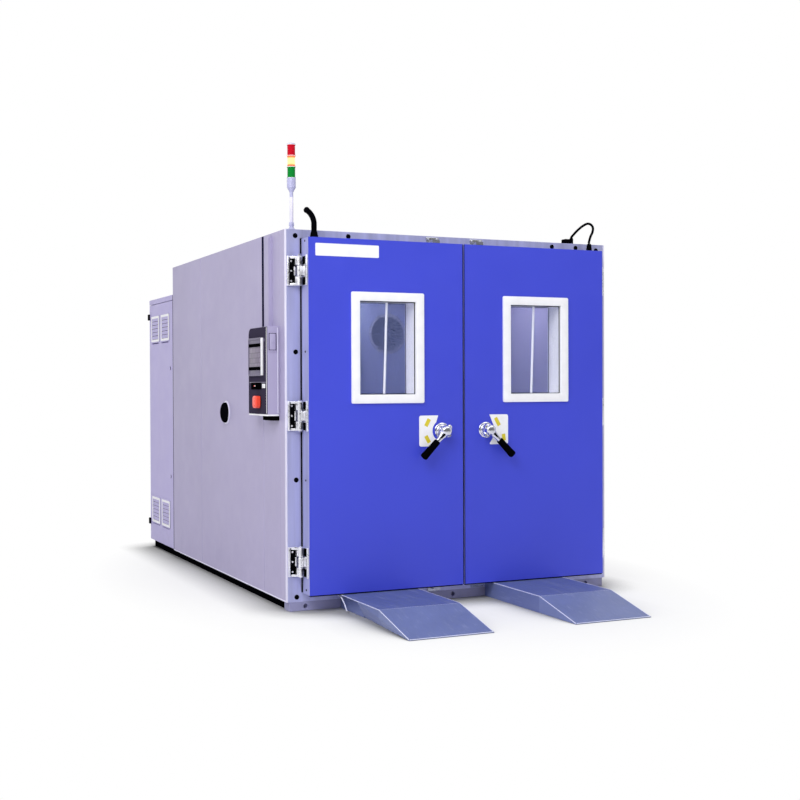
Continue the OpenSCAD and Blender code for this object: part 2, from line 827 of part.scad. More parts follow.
// Axial fan with tilted blades on its hub
module condenser_fan() {
    color("dimgray") translate([cond_fan_x, cond_motor_y + 70, cond_fan_z]) rotate([90, 0, 0]) {
        cylinder(r = 60, h = 50);
        translate([0, 0, 50 - touch]) cylinder(r = shaft_r, h = 58);
        for (a = [0 : 72 : 359]) rotate(a) translate([50, 0, 25]) rotate([35, 0, 0])
            translate([0, -35, -2]) cube([cond_fan_r - 75, 70, 4]);
    }
}

module electrical_cabinet() {
    x0 = cabinet_x0;
    x1 = half_w - service_t - service_gap - post_w - 8;
    rim = 20;
    lid_t = 6;
    color("whitesmoke") {
        block([x0, unit_y0, cabinet_z0], [x1, unit_y0 + cabinet_d, cabinet_z1]);
        block([x0 + rim, unit_y0 + cabinet_d - touch, cabinet_z0 + rim],
            [x1 - rim, unit_y0 + cabinet_d + lid_t, cabinet_z1 - rim]);
        bar_y(14, x0 + 50, (cabinet_z0 + cabinet_z1) / 2, unit_y0 + cabinet_d, unit_y0 + cabinet_d + 20);
    }
}

// Upright steam boiler on three legs
module humidifier_boiler() {
    r = boiler_r;
    h = boiler_h;
    color("gainsboro") translate([boiler_x, boiler_y, base_h + pan_t]) {
        translate([0, 0, boiler_leg]) rotate_extrude() polygon([[0, 0], [r - 40, 14], [r, 40], [r, h - 40],
            [r - 40, h - 14], [0, h]]);
        for (a = [30 : 120 : 359]) rotate(a) translate([r - 25, 0, 0]) cylinder(r = 12, h = boiler_leg + 35);
    }
}

// Hinged side door with four louvre fields and the upper halves of its hinges
module service_door() {
    pitch = 30;
    slot_zs = [for (z0 = [louvre_low_z, louvre_high_z], z = [z0 : pitch : z0 + louvre_h - pitch]) z];
    difference() {
        union() {
            block([service_x, service_y0, service_z0], [half_w, service_y1, service_z1]);
            for (y = louvre_ys, z = [louvre_low_z, louvre_high_z])
                block([half_w - touch, y - 8, z - 8], [half_w + 3, y + louvre_w + 8, z + louvre_h + 8]);
            for (z = lock_zs) bar_x(13, lock_y, z, half_w - touch, half_w + 5);
            for (z = service_hinge_zs) translate([service_pin_x, service_pin_y, z + 40 + slide_gap]) {
                cylinder(r = 7, h = 36);
                block([-7, -14, 0], [7, 0, 36]);
            }
        }
        for (y = louvre_ys, z = slot_zs) louvre_slot(y, z);
        for (z = service_hinge_zs)
            translate([service_pin_x, service_pin_y, z + 39]) cylinder(r = service_pin_r + run_gap, h = 38);
    }
}

// One downward slanting slot through the service door
module louvre_slot(y, z) {
    translate([service_x - 15, y + 6, z + 4]) rotate([0, 35, 0]) translate([-20, 0, 6])
        cube([90, louvre_w - 12, 10]);
}

module left_service_door() { color("thistle") on_side(-1) service_door(); }

module right_service_door() { color("thistle") service_door(); }

// Door hinges

// Plan of the frame side: plate on the frame, curved arm and knuckle round the pin
module frame_leaf_plan() {
    translate([hinge_x, -hinge_y]) circle(r = knuckle_r);
    polygon([[hinge_x - 4, 13 - hinge_y], [hinge_x + 13, 3 - hinge_y], [hinge_x + 34, -18],
        [hinge_x + 44, -6], [hinge_x + 12, -6]]);
    translate([hinge_x + 8, -8]) square([58, 8]);
}

module frame_leaf() {
    third = hinge_h / 3 - slide_gap;
    for (z = [-hinge_h / 2, hinge_h / 2 - third]) difference() {
        translate([0, 0, z]) linear_extrude(third) frame_leaf_plan();
        translate([hinge_x, -hinge_y, z - 1]) cylinder(r = pin_r + run_gap, h = third + 2);
    }
    block([hinge_x + 8, -6, -hinge_h / 2], [hinge_x + 66, 0, hinge_h / 2]);
    for (z = [-hinge_h / 3, 0, hinge_h / 3]) bar_y(6, hinge_x + 54, z, -11, -6 + touch);
}

module hinge_frame_leaves() {
    color("gainsboro") for (s = [-1, 1], z = hinge_zs) on_side(s) translate([0, 0, z]) frame_leaf();
}

module hinge_pins() {
    color("silver") for (s = [-1, 1], z = hinge_zs) on_side(s)
        translate([hinge_x, -hinge_y, z - hinge_h / 2 - 5]) {
            cylinder(r = pin_r, h = hinge_h + 10);
            translate([0, 0, hinge_h + 5 + run_gap]) cylinder(r = knuckle_r - 3, h = 5);
        }
}

// Door side of a hinge: plate on the leaf's edge and the middle knuckle
module door_leaf_hinge() {
    h = hinge_h / 3 - slide_gap;
    block([leaf_edge_x, leaf_front_y + 18, -hinge_h / 2], [leaf_edge_x + 4, leaf_back_y - 6, hinge_h / 2]);
    difference() {
        union() {
            translate([hinge_x, -hinge_y, -h / 2]) cylinder(r = knuckle_r, h = h);
            block([leaf_edge_x + 3, -hinge_y - knuckle_r, -h / 2], [hinge_x, -hinge_y + 6, h / 2]);
        }
        translate([hinge_x, -hinge_y, -h]) cylinder(r = pin_r + run_gap, h = 2 * h);
    }
    for (z = [-hinge_h / 3, hinge_h / 3])
        bar_x(8, leaf_front_y + 40, z, leaf_edge_x + 4 - touch, leaf_edge_x + 8);
}

module door_side_hinges() { color("gainsboro") for (z = hinge_zs) translate([0, 0, z]) door_leaf_hinge(); }

// Doors, all drawn for the right side and mirrored for the left

// The window opening through a layer of the door, from y0 to y1, larger all round by grow
module window_cut(y0, y1, grow) {
    block([glass_x0 - grow, y0, glass_z0 - grow], [glass_x1 + grow, y1, glass_z1 + grow]);
}

module door_skin() {
    color("royalblue") difference() {
        block([meeting_gap, leaf_front_y, leaf_bottom], [leaf_edge_x, skin_back_y, leaf_top]);
        window_cut(leaf_front_y - 1, skin_back_y + 1, lining_t);
        bar_y(spindle_r + 1, handle_x, handle_z, leaf_front_y - 1, skin_back_y + 1);
    }
}

// Insulated leaf with the bolt channels and the spindle hole
module door_leaf() {
    color("lightsteelblue") difference() {
        block([meeting_gap, skin_back_y, leaf_bottom], [leaf_edge_x, leaf_back_y, leaf_top]);
        window_cut(skin_back_y - 1, leaf_back_y + 1, lining_t);
        bar_y(spindle_r + slide_gap, handle_x, handle_z, skin_back_y - 1, leaf_back_y + 1);
        translate([handle_x, -bolt_y, handle_z + bolt_start - 2])
            cylinder(r = bolt_r + slide_gap, h = leaf_top - handle_z);
        translate([handle_x, -bolt_y, leaf_bottom - 1])
            cylinder(r = bolt_r + slide_gap, h = handle_z - bolt_start - leaf_bottom + 3);
    }
}

// Stainless inner face that plugs into the doorway
module door_liner() {
    color("gainsboro") difference() {
        block([plug_x0, leaf_back_y, plug_z0], [plug_x1, plug_d, plug_z1]);
        window_cut(leaf_back_y - 1, plug_d + 1, lining_t);
        bar_y(spindle_r + slide_gap, handle_x, handle_z, leaf_back_y - 1, plug_d + 1);
    }
}

// Seal round the outer three sides and a wiping strip below the leaf
module door_gasket(s) {
    w = 40;
    wiper_t = 6;
    floor_gap = 0.4;
    meeting_seal_w = 40;
    meeting_seal_gap = 0.8;
    x0 = doorway_x + 8;
    x1 = leaf_edge_x - 16;
    z0 = floor_h + floor_gap;
    z1 = leaf_top - 16;
    seal_y = -2 * hinge_y;
    color("black") on_side(s) {
        block([x0, leaf_back_y, z0], [x1, -soft_gap, z1]);
        block([plug_x0, leaf_back_y, z1 - w], [x0 + touch, -soft_gap, z1]);
        block([plug_x0, leaf_back_y, z0], [x0 + touch, leaf_back_y + wiper_t, plug_z0 - soft_gap]);
        if (s < 0) block([meeting_seal_gap - meeting_gap, seal_y - meeting_seal_w / 2, leaf_bottom + 10],
            [meeting_gap, seal_y + meeting_seal_w / 2, leaf_top - 10]);
    }
}

// White window frame with its lining through the door
module window_frame() {
    color("white") {
        ring_xz(window_x, window_x + window_w, window_z, window_z + window_h, window_face,
            leaf_front_y - window_stand, leaf_front_y, 10);
        difference() {
            window_cut(leaf_front_y - touch, plug_d + 4, lining_t - 0.2);
            window_cut(leaf_front_y - 1, plug_d + 5, 0);
        }
        ring_xz(window_x + 20, window_x + window_w - 20, window_z + 20, window_z + window_h - 20,
            window_face - 20, plug_d, plug_d + 6, 8);
    }
}

// Two panes, each seated in the lining
module window_glass() {
    color([0.75, 0.85, 0.9, 0.4]) for (y = [leaf_front_y + 12, plug_d - 20])
        window_cut(y, y + pane_t, 0);
}

module handle_rose() {
    color("gainsboro") translate([handle_x, leaf_front_y, handle_z]) rotate([90, 0, 0]) difference() {
        union() {
            cylinder(r = rose_r, h = 5);
            translate([0, 0, 5 - touch]) cylinder(r1 = rose_r - 2, r2 = 30, h = rose_t - 5);
            translate([0, 0, rose_t - 2 * touch]) cylinder(r = 24, h = 18);
        }
        translate([0, 0, -1]) cylinder(r = spindle_r + run_gap, h = 60);
    }
}

// Turns what is drawn along +Z to the lever's rest direction, down and away from the doors' meeting edge
module lever_turn() { translate([handle_x, leaf_front_y, handle_z]) rotate([0, 135, 0]) children(); }

module lever() {
    neck = lever_stand - 12;
    color("gainsboro") {
        bar_y(spindle_r, handle_x, handle_z, leaf_front_y - lever_stand, plug_d + 6);
        bar_y(26, handle_x, handle_z, leaf_front_y - lever_stand - 8, leaf_front_y - rose_t - 18 - soft_gap);
        lever_turn() translate([0, -neck, 0]) cylinder(r1 = 13, r2 = 11, h = 92);
        bar_y(30, handle_x, handle_z, plug_d + soft_gap, plug_d + 30);
    }
}

// Waisted black grip over the end of the lever
module grip() {
    neck = lever_stand - 12;
    start = 92;
    l = lever_l - start;
    color("black") lever_turn() translate([0, -neck, start]) rotate_extrude() polygon([[0, 0], [17, 0],
        [19, 4], [19, 12], [18, 24], [20, l * 0.6], [21, l - 10], [19, l - 3], [15, l], [0, l]]);
}

module top_bolt() {
    color("silver") translate([handle_x, -bolt_y, handle_z + bolt_start])
        cylinder(r = bolt_r, h = bolt_top - handle_z - bolt_start);
}

module bottom_bolt() {
    color("silver") translate([handle_x, -bolt_y, bolt_bottom])
        cylinder(r = bolt_r, h = handle_z - bolt_start - bolt_bottom);
}

// Nut and dome of a cable gland on the door's top edge
module gland(r, h) {
    cylinder(r = r, h = h * 0.4, $fn = 6);
    translate([0, 0, h * 0.4 - touch]) cylinder(r = r * 0.86, h = h * 0.35);
    translate([0, 0, h * 0.75 - 2 * touch]) cylinder(r1 = r * 0.86, r2 = r * 0.6, h = h * 0.25 + 2 * touch);
}

// Rigid swan neck that carries the left door's heater lead
module left_door_conduit() {
    conduit_x = 61 - leaf_edge_x;
    tube_r = 15;
    bend_r = 95;
    bend_a = 58;
    rise = 84;
    color("black") translate([conduit_x, gland_y, leaf_top]) {
        gland(24, 44);
        translate([0, 0, 30]) cylinder(r = tube_r, h = rise - 30);
        translate([-bend_r, 0, rise]) rotate([90, 0, 0]) {
            rotate_extrude(angle = bend_a) translate([bend_r, 0]) circle(r = tube_r);
            rotate(bend_a) translate([bend_r, -4, 0]) rotate([-90, 0, 0]) {
                cylinder(r = tube_r + 1, h = 14);
                translate([0, 0, 14 - touch]) cylinder(r1 = tube_r + 1, r2 = tube_r - 6, h = 8);
            }
        }
    }
}

// Chrome fittings of one door: its hinge leaves and the rose
module door_fittings() {
    door_side_hinges();
    handle_rose();
}

// Loading ramps

// Folded ramp of sheet steel: level part, slope, side plates and back plate
module ramp(inset) {
    back_y = -4;
    crease_y = back_y - ramp_flat;
    toe_y = crease_y - ramp_run;
    under_z = floor_h - ramp_t;
    tread = [[back_y, floor_h], [crease_y, floor_h], [toe_y, 3], [toe_y, 0], [toe_y + 25, 0],
        [crease_y + 2, under_z], [back_y, under_z]];
    side_plate = [[back_y, 0], [back_y, under_z + 1], [crease_y + 2, under_z + 1], [toe_y + 20, 0]];
    extrude_x(-ramp_w / 2, ramp_w / 2) polygon(tread);
    extrude_x(ramp_w / 2 - ramp_t, ramp_w / 2) polygon(side_plate);
    if (inset == 0) extrude_x(-ramp_w / 2, -ramp_w / 2 + ramp_t) polygon(side_plate);
    else ramp_flank(inset, crease_y, toe_y, under_z);
    block([-ramp_w / 2 + inset, back_y - ramp_t, 0], [ramp_w / 2, back_y, floor_h]);
    block([-ramp_w / 2 + inset, -340, 30], [ramp_w / 2, -334, under_z + touch]);
}

// Cheek with a quarter-round nose, and the folded flank between it and the toe
module ramp_flank(inset, crease_y, toe_y, under_z) {
    nose_y = -370;
    x0 = -ramp_w / 2;
    extrude_x(x0 + inset - 6, x0 + inset) {
        translate([nose_y + under_z, 0]) square([-nose_y - under_z - 4, under_z + 1]);
        intersection() {
            translate([nose_y + under_z, 0]) circle(r = under_z + 1);
            translate([nose_y, 0]) square([under_z + 1, under_z + 1]);
        }
    }
    hull() {
        for (p = [[x0, nose_y, under_z], [x0, crease_y, under_z], [x0, toe_y + 2, 0.5],
            [x0 + inset, nose_y, 0]]) translate(p) cube([5, 3, 1]);
    }
}

// Extrudes a YZ outline from x0 to x1
module extrude_x(x0, x1) { translate([x0, 0, 0]) rotate([90, 0, 90]) linear_extrude(x1 - x0) children(); }

module left_ramp() { color("slategray") translate([left_ramp_x, 0, 0]) ramp(ramp_inset); }

module right_ramp() { color("slategray") translate([right_ramp_x, 0, 0]) ramp(0); }

module left_door_skin() { on_side(-1) door_skin(); }
module left_door_leaf() { on_side(-1) door_leaf(); }
module left_door_liner() { on_side(-1) door_liner(); }
module left_door_gasket() { door_gasket(-1); }
module left_window_frame() { on_side(-1) window_frame(); }
module left_window_glass() { on_side(-1) window_glass(); }
module left_door_fittings() { on_side(-1) door_fittings(); }
module left_lever() { on_side(-1) lever(); }
module left_grip() { on_side(-1) grip(); }
module left_top_bolt() { on_side(-1) top_bolt(); }
module left_bottom_bolt() { on_side(-1) bottom_bolt(); }

module right_door_skin() { door_skin(); }
module right_door_leaf() { door_leaf(); }
module right_door_liner() { door_liner(); }
module right_door_gasket() { door_gasket(1); }
module right_window_frame() { window_frame(); }
module right_window_glass() { window_glass(); }
module right_door_fittings() {
    door_fittings();
    color("black") translate([gland_x, gland_y, leaf_top]) gland(18, gland_h);
}
module right_lever() { lever(); }
module right_grip() { grip(); }
module right_top_bolt() { top_bolt(); }
module right_bottom_bolt() { bottom_bolt(); }

base_frame();
front_beam();
floor_panel();
left_wall();
right_wall();
roof_panel();
rear_bulkhead();
front_frame();
door_strikes();
cable_port();
cable_port_plug();
air_duct_wall();
finned_coils();
heater_coil();
fan_motors();
left_fan();
right_fan();
control_box();
control_panel();
touch_screen();
power_switch();
stop_button();
tower_mast();
tower_lenses();
roof_cable_block();
door_cable();
machine_housing();
compressors();
condenser_fan();
electrical_cabinet();
humidifier_boiler();
left_service_door();
right_service_door();
hinge_frame_leaves();
hinge_pins();
left_ramp();
right_ramp();
left_door_skin();
left_door_leaf();
left_door_liner();
left_door_gasket();
left_window_frame();
left_window_glass();
left_door_fittings();
left_lever();
left_grip();
left_top_bolt();
left_bottom_bolt();
left_door_conduit();
right_door_skin();
right_door_leaf();
right_door_liner();
right_door_gasket();
right_window_frame();
right_window_glass();
right_door_fittings();
right_lever();
right_grip();
right_top_bolt();
right_bottom_bolt();
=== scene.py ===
"""Walk-in environmental test chamber: the finishes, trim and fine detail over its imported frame."""

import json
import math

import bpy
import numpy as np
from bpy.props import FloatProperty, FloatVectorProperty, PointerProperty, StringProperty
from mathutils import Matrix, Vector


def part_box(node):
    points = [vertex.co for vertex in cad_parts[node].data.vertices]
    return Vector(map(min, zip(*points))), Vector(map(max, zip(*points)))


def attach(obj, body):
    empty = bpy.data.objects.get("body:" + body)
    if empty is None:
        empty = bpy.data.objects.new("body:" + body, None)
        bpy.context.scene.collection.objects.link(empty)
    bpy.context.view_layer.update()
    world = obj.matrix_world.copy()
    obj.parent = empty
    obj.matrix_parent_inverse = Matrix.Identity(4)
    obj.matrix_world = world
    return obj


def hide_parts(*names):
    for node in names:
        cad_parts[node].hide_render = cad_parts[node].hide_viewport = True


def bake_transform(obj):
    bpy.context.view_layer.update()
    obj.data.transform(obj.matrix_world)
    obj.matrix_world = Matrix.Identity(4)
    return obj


bl_info = {
    "name": "Walk-in Test Chamber",
    "version": (1, 0, 0),
    "blender": (4, 5, 0),
    "location": "View3D > Sidebar > Test Chamber",
    "description": "Finishes, trim and fine detail of a walk-in environmental test chamber",
    "category": "Object",
}

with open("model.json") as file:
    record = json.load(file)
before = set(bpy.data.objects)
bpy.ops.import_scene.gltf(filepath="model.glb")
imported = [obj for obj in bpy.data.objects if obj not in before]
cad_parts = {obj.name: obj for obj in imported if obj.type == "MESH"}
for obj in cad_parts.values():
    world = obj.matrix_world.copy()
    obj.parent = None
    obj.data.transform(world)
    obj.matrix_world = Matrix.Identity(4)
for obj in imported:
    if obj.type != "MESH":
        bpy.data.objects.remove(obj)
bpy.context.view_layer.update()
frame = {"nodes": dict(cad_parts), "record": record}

MM = 0.001
SIDES = (("left", -1), ("right", 1))


# Places taken from the frame, in metres

def node_box(node):
    """Lowest and highest corner of a CAD node as two arrays."""
    lo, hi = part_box(node)
    return np.array(lo), np.array(hi)


def joint_place(name):
    """The point of a joint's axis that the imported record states."""
    for joint in frame["record"]["behaviour"]["joints"]:
        if joint["name"] == name:
            return np.array(joint["pos_m"])
    raise RuntimeError(f"the record has no joint {name}")


HALF_WIDTH = node_box("front_frame")[1][0]
BODY_TOP = node_box("roof_panel")[1][2]
BASE_TOP = node_box("base_frame")[1][2]
SKIN_LOW, SKIN_HIGH = node_box("right_door_skin")
DOOR_FACE = SKIN_LOW[1]
LEAF_EDGE, LEAF_TOP, LEAF_BOTTOM = SKIN_HIGH[0], SKIN_HIGH[2], SKIN_LOW[2]
LEAF_BACK = node_box("right_door_leaf")[1][1]
RAMP_PLATEAU = 0.675


# Material nodes

def linear(hex_value):
    """An sRGB hex value such as #ada6c5 as linear red, green, blue and 1."""
    parts = [int(hex_value[i:i + 2], 16) / 255 for i in (1, 3, 5)]
    return tuple(c / 12.92 if c <= 0.04045 else ((c + 0.055) / 1.055) ** 2.4 for c in parts) + (1.0,)


def add_node(tree, kind, inputs=None, **settings):
    """Adds a node, sets its properties, and sets or links its inputs."""
    node = tree.nodes.new(kind)
    for key, value in settings.items():
        setattr(node, key, value)
    feed(tree, node, inputs or {})
    return node


def feed(tree, node, inputs):
    """Sets a node's inputs to plain values, or links them to other nodes' sockets."""
    for key, value in inputs.items():
        if isinstance(value, bpy.types.NodeSocket):
            tree.links.new(value, node.inputs[key])
        else:
            node.inputs[key].default_value = value


def start_material(name, hex_value, roughness, **sockets):
    """A material with one Principled shader; returns it, its tree and the shader."""
    material = bpy.data.materials.new(name)
    material.use_nodes = True
    tree = material.node_tree
    shader = tree.nodes["Principled BSDF"]
    feed(tree, shader, {"Base Color": linear(hex_value), "Roughness": roughness})
    feed(tree, shader, {key.replace("_", " "): value for key, value in sockets.items()})
    return material, tree, shader


def object_coords(tree):
    """The piece's own coordinates, in metres."""
    return add_node(tree, "ShaderNodeTexCoord").outputs["Object"]


def along_axis(tree, axis):
    """The object coordinate along X, Y or Z."""
    return add_node(tree, "ShaderNodeSeparateXYZ", {"Vector": object_coords(tree)}).outputs[axis]


def reckon(tree, operation, *values):
    """One step of arithmetic on numbers or sockets."""
    return add_node(tree, "ShaderNodeMath", dict(enumerate(values)), operation=operation).outputs[0]


def remap(tree, value, low, high, from_low=0.0, from_high=1.0):
    """Value mapped onto low to high and held between them."""
    return add_node(tree, "ShaderNodeMapRange", {
        "Value": value, "From Min": from_low, "From Max": from_high, "To Min": low, "To Max": high}).outputs[0]


def spread(tree, noise, low, high):
    """Noise, mapped from the range that it mostly keeps to onto low to high."""
    return remap(tree, noise, low, high, 0.3, 0.7)


def blend_colour(tree, factor, first, second_hex):
    """The first colour where the factor is 0, the second where it is 1."""
    return add_node(tree, "ShaderNodeMix", {"Factor": factor, 6: first, 7: linear(second_hex)},
                    data_type="RGBA").outputs[2]


def object_noise(tree, size_mm, stretch=(1, 1, 1), detail=3.0, roughness=0.5):
    """Noise whose grains are size_mm across, in object coordinates, stretched along the axes."""
    placed = add_node(tree, "ShaderNodeMapping", {"Vector": object_coords(tree), "Scale": stretch}).outputs[0]
    return add_node(tree, "ShaderNodeTexNoise", {
        "Vector": placed, "Scale": 1 / (size_mm * MM), "Detail": detail, "Roughness": roughness}).outputs["Fac"]


def tint(tree, shader, hex_value, noise, low, high):
    """Colour variation: the hex colour's value scaled from low to high by the noise."""
    scaled = add_node(tree, "ShaderNodeHueSaturation", {
        "Color": linear(hex_value), "Value": spread(tree, noise, low, high)}).outputs[0]
    feed(tree, shader, {"Base Color": scaled})
    return scaled


def relief(tree, shader, height, strength, depth_mm, edge_mm=0.0):
    """Bump from a height value, over rounded edges of edge_mm where that is given."""
    inputs = {"Height": height, "Strength": strength, "Distance": depth_mm * MM}
    if edge_mm:
        inputs["Normal"] = add_node(tree, "ShaderNodeBevel", {"Radius": edge_mm * MM}, samples=4).outputs[0]
    feed(tree, shader, {"Normal": add_node(tree, "ShaderNodeBump", inputs).outputs[0]})


# Materials

def powder_coat(name, hex_value, roughness=0.42, edge_mm=2.0, dust=0.0, gloss=0.5):
    """Sprayed and baked powder coat on sheet steel: a soft sheen with fine orange peel, dusty near the floor."""
    material, tree, shader = start_material(name, hex_value, roughness, IOR=1.5, Specular_IOR_Level=gloss)
    colour = tint(tree, shader, hex_value, object_noise(tree, 900, detail=2), 0.965, 1.035)
    if dust:
        near_floor = remap(tree, along_axis(tree, "Z"), dust, 0.0, 0.0, 0.45)
        patches = spread(tree, object_noise(tree, 60, detail=5), 0.3, 1.0)
        patch = reckon(tree, "MULTIPLY", near_floor, patches)
        feed(tree, shader, {"Base Color": blend_colour(tree, patch, colour, "#8c88a0")})
    smear = spread(tree, object_noise(tree, 120, detail=4), roughness - 0.05, roughness + 0.07)
    feed(tree, shader, {"Roughness": smear})
    relief(tree, shader, object_noise(tree, 2.5, detail=2), 0.12, 0.25, edge_mm)
    return material


def brushed_stainless(name, hex_value, grain=(1, 1, 40), roughness=0.34):
    """Rolled and belt-brushed stainless sheet: long fine lines that stretch its highlights."""
    material, tree, shader = start_material(name, hex_value, roughness, Metallic=1.0)
    lines = object_noise(tree, 1.5, stretch=tuple(1 / g for g in grain), detail=2)
    tint(tree, shader, hex_value, object_noise(tree, 400, detail=3), 0.94, 1.05)
    feed(tree, shader, {"Roughness": spread(tree, lines, roughness - 0.08, roughness + 0.10)})
    relief(tree, shader, lines, 0.15, 0.05, 1.0)
    return material


def chrome_plate(name, hex_value, roughness=0.09):
    """Bright nickel-chrome plate on castings: nearly a mirror, softened by handling."""
    material, tree, shader = start_material(name, hex_value, roughness, Metallic=1.0)
    marks = object_noise(tree, 18, detail=5, roughness=0.6)
    feed(tree, shader, {"Roughness": spread(tree, marks, roughness * 0.6, roughness * 1.9)})
    relief(tree, shader, object_noise(tree, 9, detail=2), 0.06, 0.2, 0.8)
    return material


def moulded_plastic(name, hex_value, roughness=0.35, grain_mm=0.9, gloss=0.5):
    """Injection-moulded ABS: even colour, faint spark-eroded grain."""
    material, tree, shader = start_material(name, hex_value, roughness, IOR=1.53, Specular_IOR_Level=gloss)
    tint(tree, shader, hex_value, object_noise(tree, 70, detail=2), 0.97, 1.03)
    smear = spread(tree, object_noise(tree, 25, detail=4), roughness - 0.05, roughness + 0.08)
    feed(tree, shader, {"Roughness": smear})
    relief(tree, shader, object_noise(tree, grain_mm, detail=1), 0.10, 0.12, 0.6)
    return material


def extruded_rubber(name, hex_value, roughness=0.72):
    """Extruded silicone and EPDM: matt, with faint draw lines and a grey bloom."""
    material, tree, shader = start_material(name, hex_value, roughness, IOR=1.52, Specular_IOR_Level=0.0)
    bloom = object_noise(tree, 35, detail=5)
    tint(tree, shader, hex_value, bloom, 0.8, 1.5)
    feed(tree, shader, {"Roughness": spread(tree, bloom, roughness - 0.12, roughness + 0.1)})
    relief(tree, shader, object_noise(tree, 1.2, stretch=(1, 1, 0.1)), 0.15, 0.15, 0.5)
    return material


def toughened_glass(name, hex_value):
    """Float glass, toughened: clear but for a bluish film, smooth, with the faintest wave."""
    material, tree, shader = start_material(name, hex_value, 0.015, IOR=1.5, Alpha=0.06)
    relief(tree, shader, object_noise(tree, 300, detail=1), 0.03, 0.4)
    return material


def lens_plastic(name, hex_value):
    """Moulded polycarbonate lens: saturated and glossy."""
    material, tree, shader = start_material(name, hex_value, 0.32, IOR=1.58, Specular_IOR_Level=0.06)
    tint(tree, shader, hex_value, object_noise(tree, 12, detail=2), 0.9, 1.1)
    relief(tree, shader, object_noise(tree, 4, detail=1), 0.05, 0.1)
    return material


def lit_lens(name, hex_value):
    """Amber lens over its burning lamp: yellow-white at the lamp's height, red towards both ends."""
    material, tree, shader = start_material(name, hex_value, 0.25, IOR=1.58, Specular_IOR_Level=0.2)
    low, high = node_box("tower_lenses")
    lamp_height = (low[2] + high[2] - 0.009) / 2
    away = reckon(tree, "ABSOLUTE", reckon(tree, "SUBTRACT", along_axis(tree, "Z"), lamp_height))
    near = remap(tree, away, 0.0, 1.0, 0.033, 0.014)
    feed(tree, shader, {"Emission Color": blend_colour(tree, near, linear("#e8281c"), "#fff0a0"),
                        "Emission Strength": remap(tree, near, 0.35, 1.25)})
    return material


def lamp_glow(name, hex_value):
    """Opal polycarbonate cover of a lit lamp."""
    material, tree, shader = start_material(name, hex_value, 0.4, IOR=1.58)
    feed(tree, shader, {"Emission Color": linear("#eef2ff"), "Emission Strength": 32.0})
    tint(tree, shader, hex_value, object_noise(tree, 20, detail=2), 0.96, 1.04)
    return material


def screen_glass(name, hex_value):
    """Unlit liquid-crystal picture under glass: mid grey, with faint rows of lighter fields."""
    material, tree, shader = start_material(name, hex_value, 0.3, IOR=1.5, Specular_IOR_Level=0.12)
    turned = add_node(tree, "ShaderNodeMapping", {
        "Vector": object_coords(tree), "Rotation": (0, math.pi / 2, math.pi / 2)}).outputs[0]
    fields = add_node(tree, "ShaderNodeTexBrick", {
        "Vector": turned, "Color1": linear("#8a8094"), "Color2": linear("#786f82"),
        "Mortar": linear("#665e70"), "Scale": 8.0, "Mortar Size": 0.02}).outputs["Color"]
    feed(tree, shader, {"Base Color": fields})
    return material


def frame_sheet(name, hex_value):
    """Brushed stainless door frame with long vertical streaks; its outer returns carry the walls' powder coat."""
    material, tree, shader = start_material(name, hex_value, 0.42)
    lines = object_noise(tree, 2.0, stretch=(1, 1, 0.02), detail=3)
    streaks = object_noise(tree, 60, stretch=(1, 1, 0.05), detail=3)
    brushed = tint(tree, shader, hex_value, streaks, 0.84, 1.12)
    outer = reckon(tree, "GREATER_THAN", reckon(tree, "ABSOLUTE", along_axis(tree, "X")), HALF_WIDTH - 0.002)
    wall_hex = bpy.context.scene.chamber_finishes.panel_grey
    feed(tree, shader, {"Base Color": blend_colour(tree, outer, brushed, wall_hex),
                        "Metallic": remap(tree, outer, 0.45, 0.0), "Roughness": spread(tree, lines, 0.34, 0.5)})
    relief(tree, shader, lines, 0.12, 0.05, 2.0)
    return material


def finned_aluminium(name, hex_value):
    """Stacked aluminium fins, pressed on copper pipe; the 2 mm pitch is drawn at 8 mm so that it shows, with the
    bands between the fins darkened as painted shade.
    """
    material, tree, shader = start_material(name, hex_value, 0.4, Metallic=1.0)
    drawn_pitch, bands = 8 * MM, 20
    waves = add_node(tree, "ShaderNodeTexWave", {
        "Vector": object_coords(tree), "Scale": 2 * math.pi / (bands * drawn_pitch), "Distortion": 0.3,
        "Detail": 1.0}, bands_direction="X").outputs["Fac"]
    # The bands between the fins are darkened to 35 %: painted shade between them.
    tint(tree, shader, hex_value, waves, 0.35, 1.05)
    relief(tree, shader, waves, 0.5, 1.5)
    return material


def ramp_enamel(name, hex_value):
    """Hard enamel on folded sheet steel: scuffed along the wheels' lines; the level plateau is darkened as painted
    shade from the doors.
    """
    material, tree, shader = start_material(name, hex_value, 0.45, IOR=1.5)
    wheel_lines = object_noise(tree, 22, stretch=(1, 0.08, 1), detail=5, roughness=0.6)
    colour = tint(tree, shader, hex_value, object_noise(tree, 250, detail=3), 0.92, 1.06)
    crease = node_box("left_ramp")[1][1] - RAMP_PLATEAU
    # The level plateau by the doors is blended towards #47538a: painted shade from the doors.
    plateau_shade = remap(tree, along_axis(tree, "Y"), 0.0, 0.45, crease - 0.002, crease + 0.002)
    colour = blend_colour(tree, plateau_shade, colour, "#47538a")
    scuffs = remap(tree, wheel_lines, 0.0, 0.35, 0.56, 0.72)
    feed(tree, shader, {"Base Color": blend_colour(tree, scuffs, colour, "#9aa2cc"),
                        "Roughness": spread(tree, wheel_lines, 0.38, 0.58)})
    relief(tree, shader, object_noise(tree, 3, detail=2), 0.1, 0.25, 2.0)
    return material


